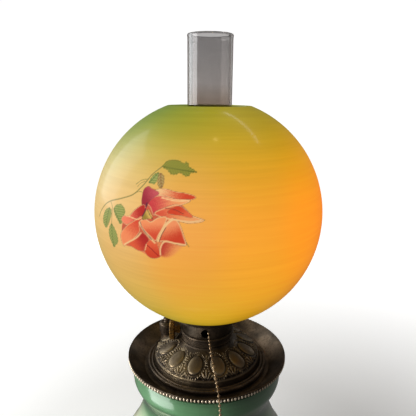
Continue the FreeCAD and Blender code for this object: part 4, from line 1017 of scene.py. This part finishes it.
class LAMP_OT_kept_pieces(bpy.types.Operator):
    """Finishes for the pieces whose modelled shape is kept"""
    bl_idname = "lamp.kept_pieces"
    bl_label = "Finishes of kept pieces"

    def execute(self, context):
        left = set(NODES) - REMADE
        for name, nodes in KEPT_FINISHES.items():
            for node in nodes:
                slots = NODES[node].data.materials
                if not slots:
                    slots.append(finish(name))
                for k in range(len(slots)):
                    slots[k] = finish(name)
            left -= set(nodes)
        if left:
            raise RuntimeError(f"no finish for {sorted(left)}")
        return {"FINISHED"}


# ---- stage -----------------------------------------------------------------------------

def aimed(location, target):
    """A turn that points a light's or camera's -Z from location to target."""
    return (Vector(target) - Vector(location)).to_track_quat("-Z", "Y").to_euler()


# Area lights: name, place, target, width and height in metres, watts, colour, and the settings
# that differ: shape, receivers (the only pieces it lights), what it stays out of.
LIGHTS = (
    ("window", (-1.40, 0.62, 0.98), (0, 0, 0.35), (0.95, 1.35), 12.5, (0.94, 0.99, 1.0), {}),
    ("left_soft", (-1.3, -0.7, 1.6), (0, 0, 0.35), (1.4, 1.4), 30, (1.0, 0.99, 0.97),
     {"unseen": "visible_glossy"}),
    ("low_left", (-1.25, -0.65, 0.44), (0, 0, 0.22), (0.42, 0.75), 17, (1.0, 0.98, 0.95),
     {"receivers": "lower_pieces"}),
    ("floor_card", (-0.46, -0.21, 0.03), (0, 0, 0.25), (0.34, 0.26), 1.1, (0.95, 1.0, 0.97),
     {"receivers": "lower_pieces", "unseen": "visible_camera"}),
    ("tall_soft", (-1.49, -0.18, 0.75), (0, 0, 0.6), (0.78, 1.2), 15, (1, 1, 1),
     {"receivers": "glass_pieces"}),
    ("ceiling_strip", (0.65, 0.56, 1.9), (0.03, -0.07, 0.54), (1.15, 0.05), 1.6, (1, 1, 1), {}),
    ("ceiling_spot", (0.131, -0.187, 2.0), (0, -0.09, 0.53), (0.10, 0.10), 0.5, (1.0, 0.72, 0.3),
     {"shape": "DISK"}),
    ("side_strip", (1.1, 1.3, 0.6), (0.1, -0.05, 0.5), (0.16, 0.9), 1.0, (1.0, 0.96, 0.9),
     {"receivers": "lower_pieces"}),
)


def panel_light(name, location, target, size, power, colour, extra):
    light = bpy.data.lights.new(name, "AREA")
    light.shape = extra.get("shape", "RECTANGLE")
    light.size, light.size_y = size
    light.energy = power
    light.color = colour
    lamp = bpy.data.objects.new(name, light)
    lamp.location = location
    lamp.rotation_euler = aimed(location, target)
    bpy.context.scene.collection.objects.link(lamp)
    if "receivers" in extra:
        lamp.light_linking.receiver_collection = bpy.data.collections[extra["receivers"]]
    if "unseen" in extra:
        setattr(lamp, extra["unseen"], False)


def group_pieces(name, pieces):
    group = bpy.data.collections.new(name)
    for piece in pieces:
        group.objects.link(piece)


CAMERA_PLACE = (0, -0.495, 0.57347)
# Degrees down, to the right, and round its own line of sight.
CAMERA_TURN = (14.48, -0.06, 0.66)
LENS, SENSOR = 38.6, 36.0


class LAMP_OT_camera(bpy.types.Operator):
    """Camera in front of the lamp, a little above the bowl"""
    bl_idname = "lamp.camera"
    bl_label = "Camera"

    def execute(self, context):
        scene = context.scene
        pitch, yaw, roll = (math.radians(v) for v in CAMERA_TURN)
        level = math.cos(pitch)
        ahead = Vector((math.sin(yaw) * level, math.cos(yaw) * level, -math.sin(pitch)))
        right = ahead.cross(Vector((0, 0, 1))).normalized()
        up = right.cross(ahead)
        turned_right = right * math.cos(roll) + up * math.sin(roll)
        turned_up = up * math.cos(roll) - right * math.sin(roll)
        camera = bpy.data.cameras.new("camera")
        camera.sensor_width, camera.lens = SENSOR, LENS
        camera.clip_start, camera.clip_end = 0.01, 100
        view = bpy.data.objects.new("camera", camera)
        turn = Matrix((turned_right, turned_up, -ahead)).transposed().to_4x4()
        view.matrix_world = Matrix.Translation(CAMERA_PLACE) @ turn
        scene.collection.objects.link(view)
        scene.camera = view
        return {"FINISHED"}


class LAMP_OT_stage(bpy.types.Operator):
    """Pale floor with a curved rise, and soft studio lights"""
    bl_idname = "lamp.stage"
    bl_label = "Stage"

    def execute(self, context):
        scene = context.scene
        scene.view_settings.view_transform = "Standard"
        bend = np.linspace(-np.pi / 2, 0, 14)
        profile = np.concatenate([[(0.02, 0), (0.3, 0), (1.0, 0)],
                                  np.stack([1.9 + 1.1 * np.cos(bend), 1.1 + 1.1 * np.sin(bend)], -1),
                                  [(3.0, 2.2), (3.0, 3.6)]])
        turn = np.linspace(0, 2 * np.pi, 72, endpoint=False)[None, :]
        points = around_axis(profile[:, :1], profile[:, 1:], turn)
        faces = grid_faces(len(profile), 72)[:, ::-1].tolist() + [list(range(72))]
        backdrop = Finish("pale_floor", (246, 246, 246), Roughness=0.9, Emission_Color=(1, 1, 1, 1))
        away = backdrop.node("ShaderNodeVectorMath", {0: backdrop.coordinates}, operation="LENGTH")
        backdrop.feed(Emission_Strength=backdrop.span(away.outputs["Value"], 0.35, 1.0, 0.12, 0.80))
        floor = make_piece("floor", points, faces, backdrop.material)
        floor.visible_glossy = False
        floor.visible_diffuse = False

        world = bpy.data.worlds.new("studio")
        world.use_nodes = True
        ground = world.node_tree.nodes["Background"]
        ground.inputs["Color"].default_value = (1.0, 0.97, 0.93, 1)
        ground.inputs["Strength"].default_value = 0.13
        scene.world = world
        group_pieces("lower_pieces", [
            piece for piece in bpy.data.objects if piece.type == "MESH" and body_of(piece)
            and "ball" not in piece.name and "chimney" not in piece.name])
        group_pieces("glass_pieces", [bpy.data.objects["glass_chimney"]])
        for light in LIGHTS:
            panel_light(*light)
        return {"FINISHED"}


# ---- panel and settings --------------------------------------------------------------------

def length(name, default, description):
    return bpy.props.FloatProperty(name=name, default=default, min=0.0, unit="LENGTH", precision=5,
                                   description=description)


class LampSizes(bpy.types.PropertyGroup):
    ball_wall: length("Ball wall", 0.003, "Thickness of the ball shade's glass")
    ball_top: length("Ball top opening", 0.04545, "Radius of the opening round the chimney")
    ball_fitter: length("Ball fitter", 0.050, "Radius of the opening that sits in the ring")
    chimney_radius: length("Chimney radius", 0.02405, "Outer radius of the straight stack")
    chimney_wall: length("Chimney wall", 0.002, "Thickness of the chimney's glass")
    vase_waist: length("Vase waist", 0.0796, "Radius at the waist")
    vase_shoulder: length("Vase shoulder", 0.0904, "Radius of the rolled shoulder")
    vase_mouth: length("Vase mouth", 0.0900, "Radius at the mouth")
    vase_base: length("Vase base", 0.0580, "Radius at the foot ring")
    vase_hole: length("Vase hole", 0.0065, "Radius of the hole for the clamp tube")
    vase_wall: length("Vase wall", 0.0045, "Thickness of the vase's glass")
    font_neck: length("Font neck", 0.0319, "Radius of the font top's neck")
    bead_thickness: length("Border bead depth", 0.0016, "How far the border's beads stand out")
    bead_count: bpy.props.IntProperty(name="Border beads", default=153, min=12, max=400,
                                      description="Beads round the bowl")
    chain_bead: length("Chain bead", 0.0032, "Diameter of a chain bead")
    chain_pitch: length("Chain pitch", 0.0047, "Distance from one chain bead to the next")
    chain_wire: length("Chain wire", 0.0009, "Diameter of the wire between the beads")
    chain_length: length("Chain length", 0.1553, "Length of the chain from the switch to its bell")


def tint(name, default, description):
    return bpy.props.FloatVectorProperty(name=name, default=default, min=0.0, max=1.0, size=3,
                                         subtype="COLOR_GAMMA", description=description)


class LampColours(bpy.types.PropertyGroup):
    old_brass: tint("Old brass", (0.330, 0.285, 0.240), "Middle tone of the aged brass")
    vase_green: tint("Vase green", (0.36, 0.54, 0.38), "Paint at the vase's shoulder")
    vase_cream: tint("Vase cream", (0.84, 0.86, 0.74), "Opal glass where the paint thins out")


PIECES = (LAMP_OT_camera, LAMP_OT_pull_chain, LAMP_OT_ball_shade, LAMP_OT_chimney, LAMP_OT_vase,
          LAMP_OT_font_top, LAMP_OT_foot, LAMP_OT_bead_border, LAMP_OT_kept_pieces, LAMP_OT_stage)


class LAMP_PT_panel(bpy.types.Panel):
    """Buttons for the lamp's pieces, with its sizes and colours"""
    bl_idname = "LAMP_PT_panel"
    bl_label = "Parlour lamp"
    bl_space_type = "VIEW_3D"
    bl_region_type = "UI"
    bl_category = "Lamp"

    def draw(self, context):
        for piece in PIECES:
            self.layout.operator(piece.bl_idname)
        for group in (context.scene.lamp_sizes, context.scene.lamp_colours):
            for key in group.bl_rna.properties.keys()[2:]:
                self.layout.prop(group, key)


CLASSES = (LampSizes, LampColours, *PIECES, LAMP_PT_panel)


def register():
    for item in CLASSES:
        bpy.utils.register_class(item)
    bpy.types.Scene.lamp_sizes = bpy.props.PointerProperty(type=LampSizes)
    bpy.types.Scene.lamp_colours = bpy.props.PointerProperty(type=LampColours)


def unregister():
    del bpy.types.Scene.lamp_colours
    del bpy.types.Scene.lamp_sizes
    for item in reversed(CLASSES):
        bpy.utils.unregister_class(item)


def main():
    register()
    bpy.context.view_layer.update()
    for piece in PIECES:
        group, name = piece.bl_idname.split(".")
        getattr(getattr(bpy.ops, group), name)()


if __name__ == "__main__":
    main()
